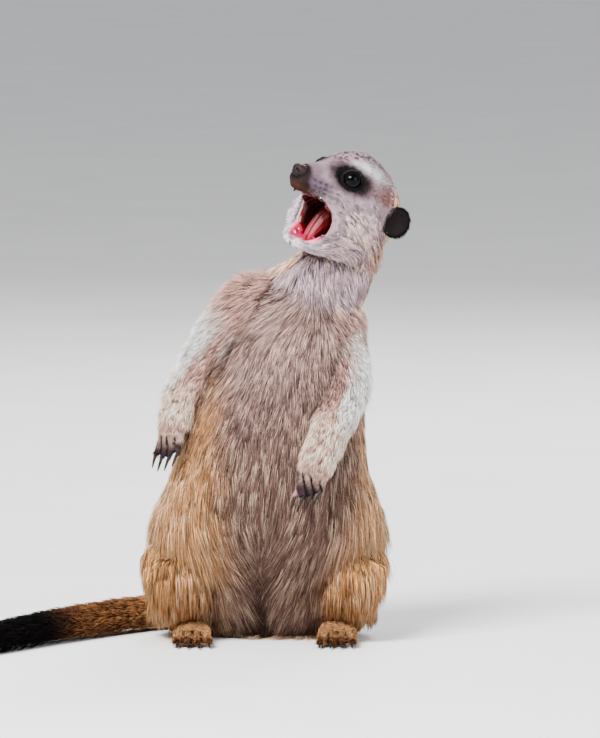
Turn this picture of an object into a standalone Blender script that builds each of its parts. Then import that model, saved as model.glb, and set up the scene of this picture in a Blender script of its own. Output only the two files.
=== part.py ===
"""A life-size still model of a meerkat that sits up on its haunches, head turned aside, mouth wide open.

Lengths are in millimetres and are turned into metres as each mesh is made. The animal faces -Y, its own
left is +X and +Z is up. The body is modelled whole from soft masses, which a voxel remesh runs together,
and is then parted into its named parts by cuts 0.3 mm thin.
"""

import math

import bmesh
import bpy
import numpy as np
from mathutils import Matrix, Vector

MM = 0.001
GAP = 0.3  # the thin cut between two neighbouring parts
LEFT, RIGHT = 1, -1  # the animal's own sides
BODY_VOXEL, HEAD_VOXEL, ZONE_VOXEL = 1.8, 1.5, 3  # voxel sizes of the masses that are run together
BODY_TRIANGLES, HEAD_TRIANGLES, ARM_ZONE_TRIANGLES, LEG_ZONE_TRIANGLES = 1240, 660, 80, 120
ZONE_MARGIN = 1.8  # how far a limb's cut lies outside its own mass

# ---- Trunk: height, sideways lean, centre line's depth, half width, front and back depths from it
TRUNK = (
    (-6, 2, 22, 40, 22, 24),
    (12, 2, 20, 49, 30, 31),
    (30, 2, 13, 55, 38, 38),
    (50, 2, 6, 59, 45, 45),
    (72, 3, 2, 58, 46.5, 46),
    (96, 4.5, 0, 52.5, 43.5, 42.5),
    (120, 8, 0, 47, 38.5, 38),
    (143, 13, 1, 41, 32.5, 34),
    (163, 18, 2, 35.5, 28, 30),
    (180, 23, 3, 30, 24, 27),
    (193, 30, 4, 24, 20, 23),
)
# ---- Neck: centre, half width, half depth
NECK = (
    (29, 4, 186, 25, 21),
    (36, 4, 196, 22, 19.5),
    (42, 4, 206, 20.5, 18.5),
    (46, 3, 217, 19, 18.5),
    (49, 0, 230, 17, 17),
)
NECK_TOP = Vector((43, 2, 209.5))  # where the head is parted from the neck
NECK_TOP_UP = Vector((0.30, -0.10, 1)).normalized()
NECK_FOOT = Vector((29.5, 4, 190))  # where the neck is parted from the chest
NECK_FOOT_UP = Vector((0.35, 0, 1)).normalized()
WAIST = 118  # height of the cut between chest and belly

# ---- Head: turned to the animal's right, nose lifted, the left side tipped down
HEAD_AT = Vector((43.5, -12, 244.5))
HEAD_YAW, HEAD_PITCH, HEAD_ROLL = 50, 22, -13  # degrees
# Skull and muzzle, from the back of the head to the nose: place along the head, half width, top, underside
SKULL = (
    (-34, 6, 1, -14),
    (-30, 15, 8.5, -22),
    (-24, 21, 15.5, -27),
    (-16, 24, 20.5, -28),
    (-7, 24.3, 23.2, -25),
    (1, 22.8, 22.6, -21),
    (7, 19.8, 19.4, -17),
    (12.5, 16.4, 15, -14),
    (18, 12.8, 10.4, -12.2),
    (24, 10, 6.6, -11.5),
    (30, 8, 4, -11.2),
    (34.5, 6.3, 2, -10),
    (37.5, 4, -0.5, -8),
)
# The opened lower jaw, from its hinge to the chin: top edge, underside (each along and up), half width
JAW = (
    ((-14, -16), (-20, -34), 19),
    ((-5, -19), (-11, -36.5), 17.5),
    ((3, -22), (-3, -38), 15.5),
    ((8.5, -25), (3, -40), 14.2),
    ((13, -27.5), (9, -41.5), 12.8),
    ((17, -31.5), (14.2, -42), 10),
    ((18.8, -34.5), (17, -41.8), 6),
)
# The cheek that is stretched between the jaws
CHEEK = (
    ((-16, -4), (-20, -36), 22),
    ((-6, -5), (-9, -35), 21.8),
    ((3, -7), (0, -33.5), 21.2),
    ((9, -8.5), (7, -31), 20.6),
    ((13.5, -10.5), (12.4, -29.5), 19.6),
    ((16.6, -13), (16.2, -27), 17.6),
)
# The mouth's inside, from the throat to in front of the lips: roof, floor, half width
MOUTH = (
    ((-17, -20), (-17, -25), 4),
    ((-8, -15), (-9, -26), 8.5),
    ((3, -11), (1, -29), 11.5),
    ((10.5, -9.8), (7.5, -33), 13.4),
    ((16, -9.6), (11.5, -35), 15.5),
    ((23, -10), (15.5, -35.8), 16.5),
    ((44, -13), (34, -38), 18),
)
# Teeth: places at the gum on the left, each with a length and a radius, and the way that they point
UPPER_TEETH = ((27, 4.2, -9.6, 2.6, 0.9), (20.5, 6.2, -9.2, 1.9, 1))
UPPER_WAY = Vector((0.15, 0, -1))
LOWER_TEETH = ((16, 5, -36.6, 3.4, 0.85), (10.4, 8.8, -32, 2.6, 1))
LOWER_WAY = Vector((0.63, 0, 0.78))
JAW_HINGE = (-15, -19)  # the cut between head and jaw runs from here to the mouth's corner
JAW_CUT_TILT = -20  # degrees below the head's length
JAW_ZONE = (80, 60, 60)
TONGUE = (
    ((-7, -16), (-8, -25), 5.5),
    ((0, -12.5), (-3, -28), 6.6),
    ((6, -13), (1.5, -31), 6.8),
    ((10.5, -18), (6, -32.5), 6.2),
    ((13, -25), (10, -34), 5.2),
    ((14.5, -30.5), (13, -34.5), 3),
)
EYE_AT, EYE_RADIUS = Vector((8.2, 13.4, 5.1)), 5.6
NOSE_AT, NOSE_SIZE = Vector((36.2, 0, -3.4)), Vector((4.0, 4.9, 4.0))
EAR_AT = Vector((-20, 28, -4.4))
EAR_SIZE = Vector((2.9, 8, 9.2))  # thickness, breadth, height as half sizes
EAR_TURN = 52  # degrees that the ear's hollow faces outwards from straight ahead

# ---- Arms: the shoulder, upper arm, elbow, forearm and wrist, each a place and a radius
ARMS = {
    RIGHT: (
        ((-7, 5, 178), 17),
        ((-21, 4, 164), 14.6),
        ((-33, 2, 148), 12),
        ((-43, -8, 134), 9.6),
        ((-47.5, -17, 120), 8),
    ),
    LEFT: (
        ((37, -1, 174), 17),
        ((42.5, -8, 156), 12.5),
        ((44.5, -19, 137), 12),
        ((36, -37, 116), 9.8),
        ((29.5, -48.5, 100), 8.2),
    ),
}
HANDS = {  # knuckles, fingertips, claw tips, and the way across the hand
    RIGHT: ((-50, -23, 109), (-52, -26, 102), (-54.5, -28, 94.5), (0.86, -0.5, 0.1)),
    LEFT: ((26.5, -53, 91), (24, -55, 83.5), (20.5, -57, 75.5), (0.97, -0.1, 0.2)),
}
DIGITS = (-1.5, -0.5, 0.5, 1.5)  # four on each foot, counted in digit spacings from the middle
FINGER_SPACING, FINGER_RADIUS = 4.1, 1.95
CLAW_RADIUS = 1.15

# ---- Legs, for the animal's left; the right is the mirror image about LEG_MIDDLE
LEG_MIDDLE = 1
THIGH = (
    ((24, 24, 46), 25),
    ((38, 8, 44), 25.5),
    ((46, -8, 42), 22),
    ((49, -20, 39), 15),
)
SHANK = (((47, -18, 33), 16), ((44, 2, 24), 18), ((42, 22, 12), 14), ((41, 33, 8), 9))
FOOT = (  # hock to toes: place, half width, half height
    ((41, 32, 6), 8, 7),
    ((41, 10, 6), 9, 7),
    ((40.5, -12, 5.5), 10, 6.5),
    ((40, -29, 4.6), 10, 5.4),
    ((40, -36, 4.0), 8.6, 4.4),
)
TOE_ROOT, TOE_TIP, TOE_CLAW_TIP = (40, -32, 3.6), (39.5, -45, 3.0), (39, -55, 0.9)
TOE_SPACING, TOE_RADIUS = 5.1, 2.4
KNEE_CUT, KNEE_CUT_UP = (0, -20, 31), (0, 0.24, 1)  # between thigh and shank
ANKLE = 14  # height of the cut between foot and shank

# ---- Tail, laid round the right side on the ground: place, radius
TAIL = (
    ((2, 30, 20), 14),
    ((-6, 47, 14), 12.5),
    ((-26, 56, 10.5), 11),
    ((-50, 48, 9.6), 10.2),
    ((-72, 30, 9.2), 9.8),
    ((-93, 5, 9), 9.6),
    ((-113, -22, 8.8), 9.4),
    ((-132, -50, 8.4), 9),
    ((-148, -76, 7), 7.6),
    ((-158, -93, 4.4), 4.4),
)
TAIL_CUTS = (3.7, 5.8, 7.6)  # places along the stations above where the tail is parted

COAT, DARK_FUR, BLACK_SKIN = (0.62, 0.50, 0.37), (0.10, 0.07, 0.055), (0.03, 0.022, 0.022)
NOSE_BROWN, EYE_BROWN, TONGUE_PINK = (0.16, 0.09, 0.07), (0.012, 0.008, 0.006), (0.72, 0.27, 0.29)


# ---------------------------------------------------------------- shapes
def smooth_rows(rows, steps):
    """Rows of numbers with a Catmull-Rom curve's rows put between them."""
    rows = np.array(rows, float)
    padded = np.vstack([2 * rows[0] - rows[1], rows, 2 * rows[-1] - rows[-2]])
    made = []
    for a, b, c, d in zip(padded, padded[1:], padded[2:], padded[3:]):
        for t in np.arange(steps) / steps:
            bend = (2 * a - 5 * b + 4 * c - d) * t * t + (3 * b - a - 3 * c + d) * t**3
            made.append(b + 0.5 * ((c - a) * t + bend))
    return np.array([*made, rows[-1]])


def mesh_object(name, bm):
    mesh = bpy.data.meshes.new(name)
    bmesh.ops.recalc_face_normals(bm, faces=bm.faces)
    bm.to_mesh(mesh)
    bm.free()
    obj = bpy.data.objects.new(name, mesh)
    WORKSHOP.objects.link(obj)
    return obj


def loft(name, centres, across, over, under, power=2.0, sides=20, matrix=None):
    """A closed skin through ovals. across, over and under are the half axes of each oval, as vectors."""
    bm = bmesh.new()
    rings = []
    for centre, side, top, bottom in zip(centres, across, over, under):
        ring = []
        for k in range(sides):
            angle = 2 * math.pi * k / sides
            c, s = math.cos(angle), math.sin(angle)
            c, s = (math.copysign(abs(v) ** (2 / power), v) for v in (c, s))
            spot = centre + side * c + (top if s > 0 else bottom) * abs(s)
            ring.append(bm.verts.new(Vector(spot) * MM))
        rings.append(ring)
    for ring, after in zip(rings, rings[1:]):
        for k in range(sides):
            bm.faces.new((ring[k - 1], ring[k], after[k], after[k - 1]))
    bm.faces.new(rings[0])
    bm.faces.new(rings[-1])
    if matrix is not None:
        bm.transform(matrix)
    return mesh_object(name, bm)


def limb(name, stations, grow=0.0, hint=(0, -1, 0), steps=3, sides=16, domed=True):
    """A round limb through places with radii, or with a half width and half height each."""
    rows = [(*p, s[0], s[-1]) for p, *s in stations]
    rows = smooth_rows(rows, steps)
    centres, wide, high = rows[:, :3], rows[:, 3] + grow, rows[:, 4] + grow
    along = np.gradient(centres, axis=0)
    along /= np.linalg.norm(along, axis=1)[:, None]
    if grow:
        centres = centres.copy()
        centres[0] -= along[0] * grow
        centres[-1] += along[-1] * grow
    side = np.cross(along, np.array(hint, float))
    side /= np.linalg.norm(side, axis=1)[:, None]
    up = np.cross(side, along)
    across, over = side * wide[:, None], up * high[:, None]
    if domed:  # two shrinking ovals close each end
        push, share = np.array([[0.5], [0.87]]), np.array([[0.87], [0.5]])
        head, tail = along[0] * wide[0] * push[::-1], along[-1] * wide[-1] * push
        centres = np.vstack([centres[0] - head, centres, centres[-1] + tail])
        across = np.vstack([across[0] * share[::-1], across, across[-1] * share])
        over = np.vstack([over[0] * share[::-1], over, over[-1] * share])
    return loft(name, centres, across, over, -over, sides=sides)


def profile_loft(name, rows, matrix, power=2.2, steps=3, sides=20):
    """A form in the head's own frame through rows of a top point, an underside point and a half width."""
    flat = smooth_rows([(*top, *bottom, half) for top, bottom, half in rows], steps)
    top = np.array([(r[0], 0, r[1]) for r in flat])
    bottom = np.array([(r[2], 0, r[3]) for r in flat])
    upward = (top - bottom) / 2
    across = np.array([(0, r[4], 0) for r in flat])
    return loft(name, (top + bottom) / 2, across, upward, -upward, power, sides, matrix)


def ball(name, centre, radii, turn=None, segments=20):
    """An oval ball; turn is a matrix for its own axes."""
    bm = bmesh.new()
    bmesh.ops.create_uvsphere(bm, u_segments=segments, v_segments=segments // 2, radius=1)
    place = Matrix.Translation(Vector(centre) * MM) @ (turn or Matrix.Identity(4)).to_4x4()
    bm.transform(place @ Matrix.Diagonal((*(Vector(radii) * MM), 1)))
    return mesh_object(name, bm)


def head_matrix():
    """Turns the head's own frame (x forwards, y to its left, z up, in metres) into the body's."""
    yaw, pitch, roll = (math.radians(v) for v in (HEAD_YAW, HEAD_PITCH, HEAD_ROLL))
    level = math.cos(pitch)
    forward = Vector((-math.sin(yaw) * level, -math.cos(yaw) * level, math.sin(pitch)))
    left = Vector((math.cos(yaw), -math.sin(yaw), 0))
    up = forward.cross(left)
    tilt = Matrix.Rotation(roll, 3, forward)
    axes = Matrix((forward, tilt @ left, tilt @ up)).transposed()
    return Matrix.Translation(HEAD_AT * MM) @ axes.to_4x4()


# ---------------------------------------------------------------- solid tools
def evaluated(obj, name):
    """A plain mesh object with obj's modifiers applied, in obj's stead."""
    bpy.context.view_layer.update()
    graph = bpy.context.evaluated_depsgraph_get()
    mesh = bpy.data.meshes.new_from_object(obj.evaluated_get(graph))
    made = bpy.data.objects.new(name, mesh)
    made.matrix_world = obj.matrix_world
    WORKSHOP.objects.link(made)
    bpy.data.objects.remove(obj)
    made.name = name
    return made


def joined(name, objects):
    bm = bmesh.new()
    for obj in objects:
        bm.from_mesh(obj.data)
        bpy.data.objects.remove(obj)
    return mesh_object(name, bm)


def run_together(name, objects, voxel, triangles, smoothing=4):
    """The masses as one smooth closed skin of about that many triangles."""
    obj = joined(name, objects)
    remesh = obj.modifiers.new("Remesh", "REMESH")
    remesh.mode, remesh.voxel_size = "VOXEL", voxel * MM
    smooth = obj.modifiers.new("Smooth", "SMOOTH")
    smooth.factor, smooth.iterations = 0.5, smoothing
    obj = evaluated(obj, name)
    thin = obj.modifiers.new("Decimate", "DECIMATE")
    thin.ratio = min(1.0, triangles / (2 * len(obj.data.polygons)))
    return evaluated(obj, name)


def boolean(obj, other, operation):
    step = obj.modifiers.new(operation.title(), "BOOLEAN")
    step.operation, step.object = operation, other
    return evaluated(obj, obj.name)


def copy_of(obj, name):
    made = bpy.data.objects.new(name, obj.data.copy())
    WORKSHOP.objects.link(made)
    return made


def cut_by_plane(obj, spot, normal, keep_above=True):
    """obj without what lies on the other side of the plane, closed flat, half a gap back from it."""
    normal = Vector(normal).normalized() * (1 if keep_above else -1)
    bm = bmesh.new()
    bm.from_mesh(obj.data)
    where = (Vector(spot) + normal * GAP / 2) * MM
    everything = [*bm.verts, *bm.edges, *bm.faces]
    cut = bmesh.ops.bisect_plane(
        bm, geom=everything, dist=1e-7, plane_co=where, plane_no=normal, clear_inner=True
    )
    rim = [e for e in cut["geom_cut"] if isinstance(e, bmesh.types.BMEdge)]
    bmesh.ops.holes_fill(bm, edges=rim, sides=0)
    bmesh.ops.triangulate(bm, faces=[f for f in bm.faces if len(f.verts) > 4])
    bm.to_mesh(obj.data)
    bm.free()
    return obj


def parted(obj, spot, normal, above, below):
    """Two new parts of obj, above and below the plane."""
    upper = cut_by_plane(copy_of(obj, above), spot, normal)
    lower = cut_by_plane(copy_of(obj, below), spot, normal, keep_above=False)
    bpy.data.objects.remove(obj)
    return upper, lower


def keep_largest(obj):
    """Drops the crumbs that a cut can leave beside a part."""
    bm = bmesh.new()
    bm.from_mesh(obj.data)
    left, groups = set(bm.faces), []
    while left:
        group, edge = set(), [left.pop()]
        while edge:
            face = edge.pop()
            group.add(face)
            beside = {other for e in face.edges if len(e.link_faces) == 2 for other in e.link_faces} & left
            left -= beside
            edge.extend(beside)
        groups.append(group)
    largest = max(groups, key=lambda group: sum(face.calc_area() for face in group))
    bmesh.ops.delete(bm, geom=[face for face in bm.faces if face not in largest], context="FACES")
    bm.to_mesh(obj.data)
    bm.free()
    return obj


def grown_copy(obj, name, by=GAP):
    """A copy of obj with its skin pushed out along the normals."""
    made = copy_of(obj, name)
    bm = bmesh.new()
    bm.from_mesh(made.data)
    bm.normal_update()
    for vert in bm.verts:
        vert.co += vert.normal * by * MM * 1.1
    bm.to_mesh(made.data)
    bm.free()
    return made


def set_in(piece, *hosts):
    """Cuts each host back from the piece by a gap, and returns the hosts."""
    cut = []
    for host in hosts:
        tool = grown_copy(piece, "tool")
        cut.append(keep_largest(boolean(host, tool, "DIFFERENCE")))
        bpy.data.objects.remove(tool)
    return cut


def taken_out(obj, zone, name):
    """Takes what lies in the zone out of obj as a part of its own. Returns the rest and the part."""
    part = boolean(copy_of(obj, name), zone, "INTERSECT")
    wider = grown_copy(zone, "wider", GAP * 1.25)
    rest = boolean(obj, wider, "DIFFERENCE")
    for tool in (zone, wider):
        bpy.data.objects.remove(tool)
    return keep_largest(rest), keep_largest(part)


# ---------------------------------------------------------------- body masses
def mirrored(stations):
    """Stations of the left leg moved to the right side."""
    return tuple(((2 * LEG_MIDDLE - p[0], *p[1:]), *size) for p, *size in stations)


def on_side(spot, side):
    return spot if side == LEFT else (2 * LEG_MIDDLE - spot[0], *spot[1:])


def trunk_mass():
    rows = smooth_rows(TRUNK, 3)
    centres = np.stack([rows[:, 1], rows[:, 2], rows[:, 0]], axis=1)
    zero = np.zeros(len(rows))
    across = np.stack([rows[:, 3], zero, zero], axis=1)
    front = np.stack([zero, -rows[:, 4], zero], axis=1)
    back = np.stack([zero, rows[:, 5], zero], axis=1)
    return loft("trunk", centres, across, front, back, 2.1, 28)


def neck_mass():
    return limb("neck", [(row[:3], row[3], row[4]) for row in NECK])


def digit_rows(root, tip, across, spacing, spread):
    """Root and tip of each digit of a foot, spread a little towards the tips."""
    root, tip, across = Vector(root), Vector(tip), Vector(across).normalized()
    for number in DIGITS:
        bow = (abs(number) - 1) * 2.2  # the outer digits start and end further back
        back = (root - tip).normalized() * bow
        yield root + across * number * spacing + back, tip + across * number * spacing * spread + back


def palm_mass(side, grow=0.0):
    knuckle, tip, _, across = HANDS[side]
    wrist = Vector(ARMS[side][-1][0])
    palm_end = Vector(knuckle).lerp(Vector(tip), 0.25)
    face = Vector(across).cross(Vector(tip) - Vector(knuckle)).normalized()
    return limb("palm", ((wrist, 6.6, 5.6), (knuckle, 8.2, 4.2), (palm_end, 7.4, 3.2)), grow, face)


def fingers(side, grow=0.0):
    knuckle, tip, _, across = HANDS[side]
    for root, end in digit_rows(knuckle, tip, across, FINGER_SPACING, 1.12):
        rows = ((root, FINGER_RADIUS), (end, FINGER_RADIUS * 0.86))
        yield limb("finger", rows, grow, steps=1, sides=6)


def toes(side, grow=0.0):
    root, tip = on_side(TOE_ROOT, side), on_side(TOE_TIP, side)
    for root, end in digit_rows(root, tip, (side, 0, 0), TOE_SPACING, 1.1):
        yield limb("toe", ((root, TOE_RADIUS), (end, TOE_RADIUS * 0.84)), grow, steps=1, sides=6)


def foot_mass(side, grow=0.0):
    return limb("foot", FOOT if side == LEFT else mirrored(FOOT), grow, (0, 0, 1))


def arm_masses(side, grow=0.0):
    return [limb("arm", ARMS[side], grow), palm_mass(side, grow)]


def leg_masses(side, grow=0.0):
    thigh, shank = (THIGH, SHANK) if side == LEFT else (mirrored(THIGH), mirrored(SHANK))
    return [limb("thigh", thigh, grow), limb("shank", shank, grow), foot_mass(side, grow)]


def tail_mass(grow=0.0, first=0):
    return limb("tail", TAIL[first:], grow, (0, 0, 1), steps=2)


def skull_mass(matrix):
    return profile_loft("skull", [((x, top), (x, under), half) for x, half, top, under in SKULL], matrix, 2.0)


# ---------------------------------------------------------------- parts
def body_parts(matrix):
    """The whole body but its head, parted. Returns a dictionary of parts by name."""
    masses = [trunk_mass(), neck_mass(), skull_mass(matrix), tail_mass()]
    for side in (LEFT, RIGHT):
        masses += [*arm_masses(side), *leg_masses(side)]
    rest = run_together("body", masses, BODY_VOXEL, BODY_TRIANGLES, 5)
    rest = cut_by_plane(rest, (0, 0, -GAP / 2), (0, 0, 1))
    rest = keep_largest(cut_by_plane(rest, NECK_TOP, NECK_TOP_UP, keep_above=False))
    parts = {}
    for side, mark in ((RIGHT, "R"), (LEFT, "L")):
        zone = run_together("zone", arm_masses(side, ZONE_MARGIN), ZONE_VOXEL, ARM_ZONE_TRIANGLES)
        rest, arm = taken_out(rest, zone, "arm")
        shoulder, elbow, wrist = (Vector(ARMS[side][k][0]) for k in (0, 2, 4))
        elbow_way = (shoulder - elbow).normalized() + (elbow - wrist).normalized()
        upper, lower = parted(arm, elbow, elbow_way, "a", "b")
        parts["upper_arm_" + mark] = keep_largest(upper)
        knuckle = Vector(HANDS[side][0])
        fore, hand = parted(lower, wrist.lerp(knuckle, 0.1), wrist - knuckle, "a", "b")
        parts["forearm_" + mark], parts["hand_" + mark] = keep_largest(fore), keep_largest(hand)
    for side, mark in ((RIGHT, "R"), (LEFT, "L")):
        zone = run_together("zone", leg_masses(side, ZONE_MARGIN), ZONE_VOXEL, LEG_ZONE_TRIANGLES)
        rest, leg = taken_out(rest, zone, "leg")
        thigh, lower = parted(leg, KNEE_CUT, KNEE_CUT_UP, "a", "b")
        parts["thigh_" + mark] = keep_largest(thigh)
        shank, foot = parted(lower, (0, 0, ANKLE), (0, 0, 1), "a", "b")
        parts["shank_" + mark], parts["foot_" + mark] = keep_largest(shank), keep_largest(foot)
    zone = run_together("zone", [tail_mass(ZONE_MARGIN, 1)], ZONE_VOXEL, ARM_ZONE_TRIANGLES)
    rest, tail = taken_out(rest, zone, "tail")
    rows = smooth_rows([p for p, _ in TAIL], 10)
    for number, place in enumerate(TAIL_CUTS, 1):
        spot, ahead = Vector(rows[int(place * 10)]), Vector(rows[int(place * 10) + 3])
        tail, length = parted(tail, spot, ahead - spot, "a", "b")
        parts[f"tail_{number}"] = keep_largest(length)
        tail = keep_largest(tail)
    parts[f"tail_{len(TAIL_CUTS) + 1}"] = tail
    neck, rest = parted(rest, NECK_FOOT, NECK_FOOT_UP, "neck", "rest")
    chest, belly = parted(rest, (0, 0, WAIST), (0, 0, 1), "chest", "belly")
    for side, mark in ((RIGHT, "R"), (LEFT, "L")):
        parts["hand_" + mark] = with_digits(parts["hand_" + mark], fingers(side))
        parts["foot_" + mark] = with_digits(parts["foot_" + mark], toes(side))
    parts |= {"neck": keep_largest(neck), "chest": keep_largest(chest), "belly": keep_largest(belly)}
    return parts


def head_parts(matrix):
    masses = [
        skull_mass(matrix),
        profile_loft("jaw", JAW, matrix),
        profile_loft("cheek", CHEEK, matrix),
        neck_mass(),
    ]
    head = run_together("head", masses, HEAD_VOXEL, HEAD_TRIANGLES, 3)
    head = keep_largest(cut_by_plane(head, NECK_TOP, NECK_TOP_UP))
    mouth = profile_loft("mouth", MOUTH, matrix, steps=1, sides=12)
    head = keep_largest(boolean(head, mouth, "DIFFERENCE"))
    bpy.data.objects.remove(mouth)
    bm = bmesh.new()
    bmesh.ops.create_cube(bm, size=1)
    bm.transform(Matrix.Diagonal((*(Vector(JAW_ZONE) * MM), 1)))
    bm.transform(Matrix.Translation(Vector((JAW_ZONE[0] / 2, 0, -JAW_ZONE[2] / 2)) * MM))
    bm.transform(Matrix.Rotation(math.radians(-JAW_CUT_TILT), 4, "Y"))
    bm.transform(matrix @ Matrix.Translation(Vector((JAW_HINGE[0], 0, JAW_HINGE[1])) * MM))
    head, jaw = taken_out(head, mesh_object("zone", bm), "jaw")
    return head, jaw


def claw(name, root, tip, curl, radius=CLAW_RADIUS):
    """A slim curved claw from root to tip, bowed by curl."""
    root, tip, curl = Vector(root), Vector(tip), Vector(curl)
    middle = root.lerp(tip, 0.5) + curl
    rows = ((root, radius), (middle, radius * 0.8), (tip, radius * 0.3))
    return limb(name, rows, steps=1, sides=6, domed=False)


def claws(parts):
    """Four claws for each foot, each set into its toe."""
    made = {}
    for side, mark in ((RIGHT, "R"), (LEFT, "L")):
        knuckle, tip, claw_tip, across = HANDS[side]
        roots = [end for _, end in digit_rows(knuckle, tip, across, FINGER_SPACING, 1.12)]
        tips = [end for _, end in digit_rows(knuckle, claw_tip, across, FINGER_SPACING, 1.0)]
        for number, (root, end) in enumerate(zip(roots, tips), 1):
            name = f"claw_hand_{mark}_{number}"
            inward = root.lerp(end, -0.1)
            made[name] = claw(name, inward, end, (0, -1.0, 0.4))
            parts["hand_" + mark], = set_in(made[name], parts["hand_" + mark])
        ends = [on_side(spot, side) for spot in (TOE_ROOT, TOE_TIP, TOE_CLAW_TIP)]
        roots = [end for _, end in digit_rows(ends[0], ends[1], (side, 0, 0), TOE_SPACING, 1.1)]
        tips = [end for _, end in digit_rows(ends[0], ends[2], (side, 0, 0), TOE_SPACING, 1.15)]
        for number, (root, end) in enumerate(zip(roots, tips), 1):
            name = f"claw_foot_{mark}_{number}"
            made[name] = claw(name, root, (end.x, end.y, TOE_CLAW_TIP[2]), (0, 0, 0.9))
            parts["foot_" + mark], = set_in(made[name], parts["foot_" + mark])
    return made


def ear(name, side, matrix):
    """A small upright cup, its hollow facing outwards and forwards."""
    turn = matrix.to_3x3() @ Matrix.Rotation(math.radians(EAR_TURN * side), 3, "Z")
    place = matrix @ (Vector((EAR_AT.x, EAR_AT.y * side, EAR_AT.z)) * MM) / MM
    shell = ball(name, place, EAR_SIZE, turn, 12)
    inner = Vector((EAR_SIZE.x * 0.9, EAR_SIZE.y * 0.74, EAR_SIZE.z * 0.76))
    hollow = ball("hollow", place + turn @ Vector((EAR_SIZE.x * 0.9, 0, -0.6)), inner, turn, 8)
    shell = boolean(shell, hollow, "DIFFERENCE")
    bpy.data.objects.remove(hollow)
    return shell


def features(head, jaw, matrix):
    """Eyes, ears, nose and tongue, set into head and jaw. Returns them all by name."""
    made = {}
    for side, mark in ((RIGHT, "R"), (LEFT, "L")):
        spot = matrix @ (Vector((EYE_AT.x, EYE_AT.y * side, EYE_AT.z)) * MM) / MM
        made["eye_" + mark] = ball("eye_" + mark, spot, (EYE_RADIUS,) * 3, matrix.to_3x3(), 12)
        made["ear_" + mark] = ear("ear_" + mark, side, matrix)
    made["nose"] = ball("nose", matrix @ (NOSE_AT * MM) / MM, NOSE_SIZE, matrix.to_3x3(), 12)
    for piece in made.values():
        head, = set_in(piece, head)
    made["tongue"] = profile_loft("tongue", TONGUE, matrix, steps=1, sides=10)
    head, jaw = set_in(made["tongue"], head, jaw)
    return made | {"head": head, "jaw": jaw}


def with_digits(host, digits):
    """Joins fingers or toes to a hand or foot, all of it kept above the ground."""
    for digit in digits:
        digit = cut_by_plane(digit, (0, 0, -GAP / 2), (0, 0, 1))
        host = boolean(host, digit, "UNION")
        bpy.data.objects.remove(digit)
    return keep_largest(host)


def with_teeth(host, rows, way, matrix):
    """Joins a canine and a cheek tooth a side to the host."""
    for x, y, z, length, radius in rows:
        for side in (LEFT, RIGHT):
            root = Vector((x, y * side, z))
            ends = [matrix @ (spot * MM) / MM for spot in (root, root + way * length)]
            tooth = limb("tooth", ((ends[0], radius), (ends[1], radius * 0.4)), steps=1, sides=6, domed=False)
            host = boolean(host, tooth, "UNION")
            bpy.data.objects.remove(tooth)
    return keep_largest(host)


# ---------------------------------------------------------------- finish
def material(name, colour, roughness):
    made = bpy.data.materials.new(name)
    made.use_nodes = True
    shader = made.node_tree.nodes["Principled BSDF"]
    shader.inputs["Base Color"].default_value = (*colour, 1)
    shader.inputs["Roughness"].default_value = roughness
    return made


def finish(parts, collection, offset):
    """Names, moves, paints and files each part."""
    for name, obj in parts.items():
        obj.name = obj.data.name = name
        obj.data.transform(Matrix.Translation(offset))
        if name.startswith("claw"):
            paint = (BLACK_SKIN, 0.35)
        elif name.startswith(("ear", "tail_4")):
            paint = (DARK_FUR, 0.85)
        else:
            paint = {"nose": (NOSE_BROWN, 0.4), "tongue": (TONGUE_PINK, 0.35)}.get(name, (COAT, 0.85))
        if name.startswith("eye"):
            paint = (EYE_BROWN, 0.06)
        obj.data.materials.clear()
        obj.data.materials.append(material(name, *paint))
        obj.data.set_sharp_from_angle(angle=math.radians(40))
        obj.data.shade_smooth()
        WORKSHOP.objects.unlink(obj)
        collection.objects.link(obj)


def main():
    matrix = head_matrix()
    parts = body_parts(matrix)
    head, jaw = head_parts(matrix)
    head = with_teeth(head, UPPER_TEETH, UPPER_WAY, matrix)
    jaw = with_teeth(jaw, LOWER_TEETH, LOWER_WAY, matrix)
    parts |= features(head, jaw, matrix)
    parts |= claws(parts)
    spots = np.array([v.co for obj in parts.values() for v in obj.data.vertices])
    low, high = spots.min(axis=0), spots.max(axis=0)
    to_origin = Vector((-(low[0] + high[0]) / 2, -(low[1] + high[1]) / 2, -low[2]))
    animal = bpy.data.collections.new("meerkat")
    bpy.context.scene.collection.children.link(animal)
    finish(parts, animal, to_origin)


for old in list(bpy.data.objects):
    bpy.data.objects.remove(old)
WORKSHOP = bpy.data.collections.new("workshop")
bpy.context.scene.collection.children.link(WORKSHOP)
main()
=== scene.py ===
import math

import bmesh
import bpy
import numpy as np
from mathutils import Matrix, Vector
from mathutils.bvhtree import BVHTree
from mathutils.kdtree import KDTree


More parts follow.
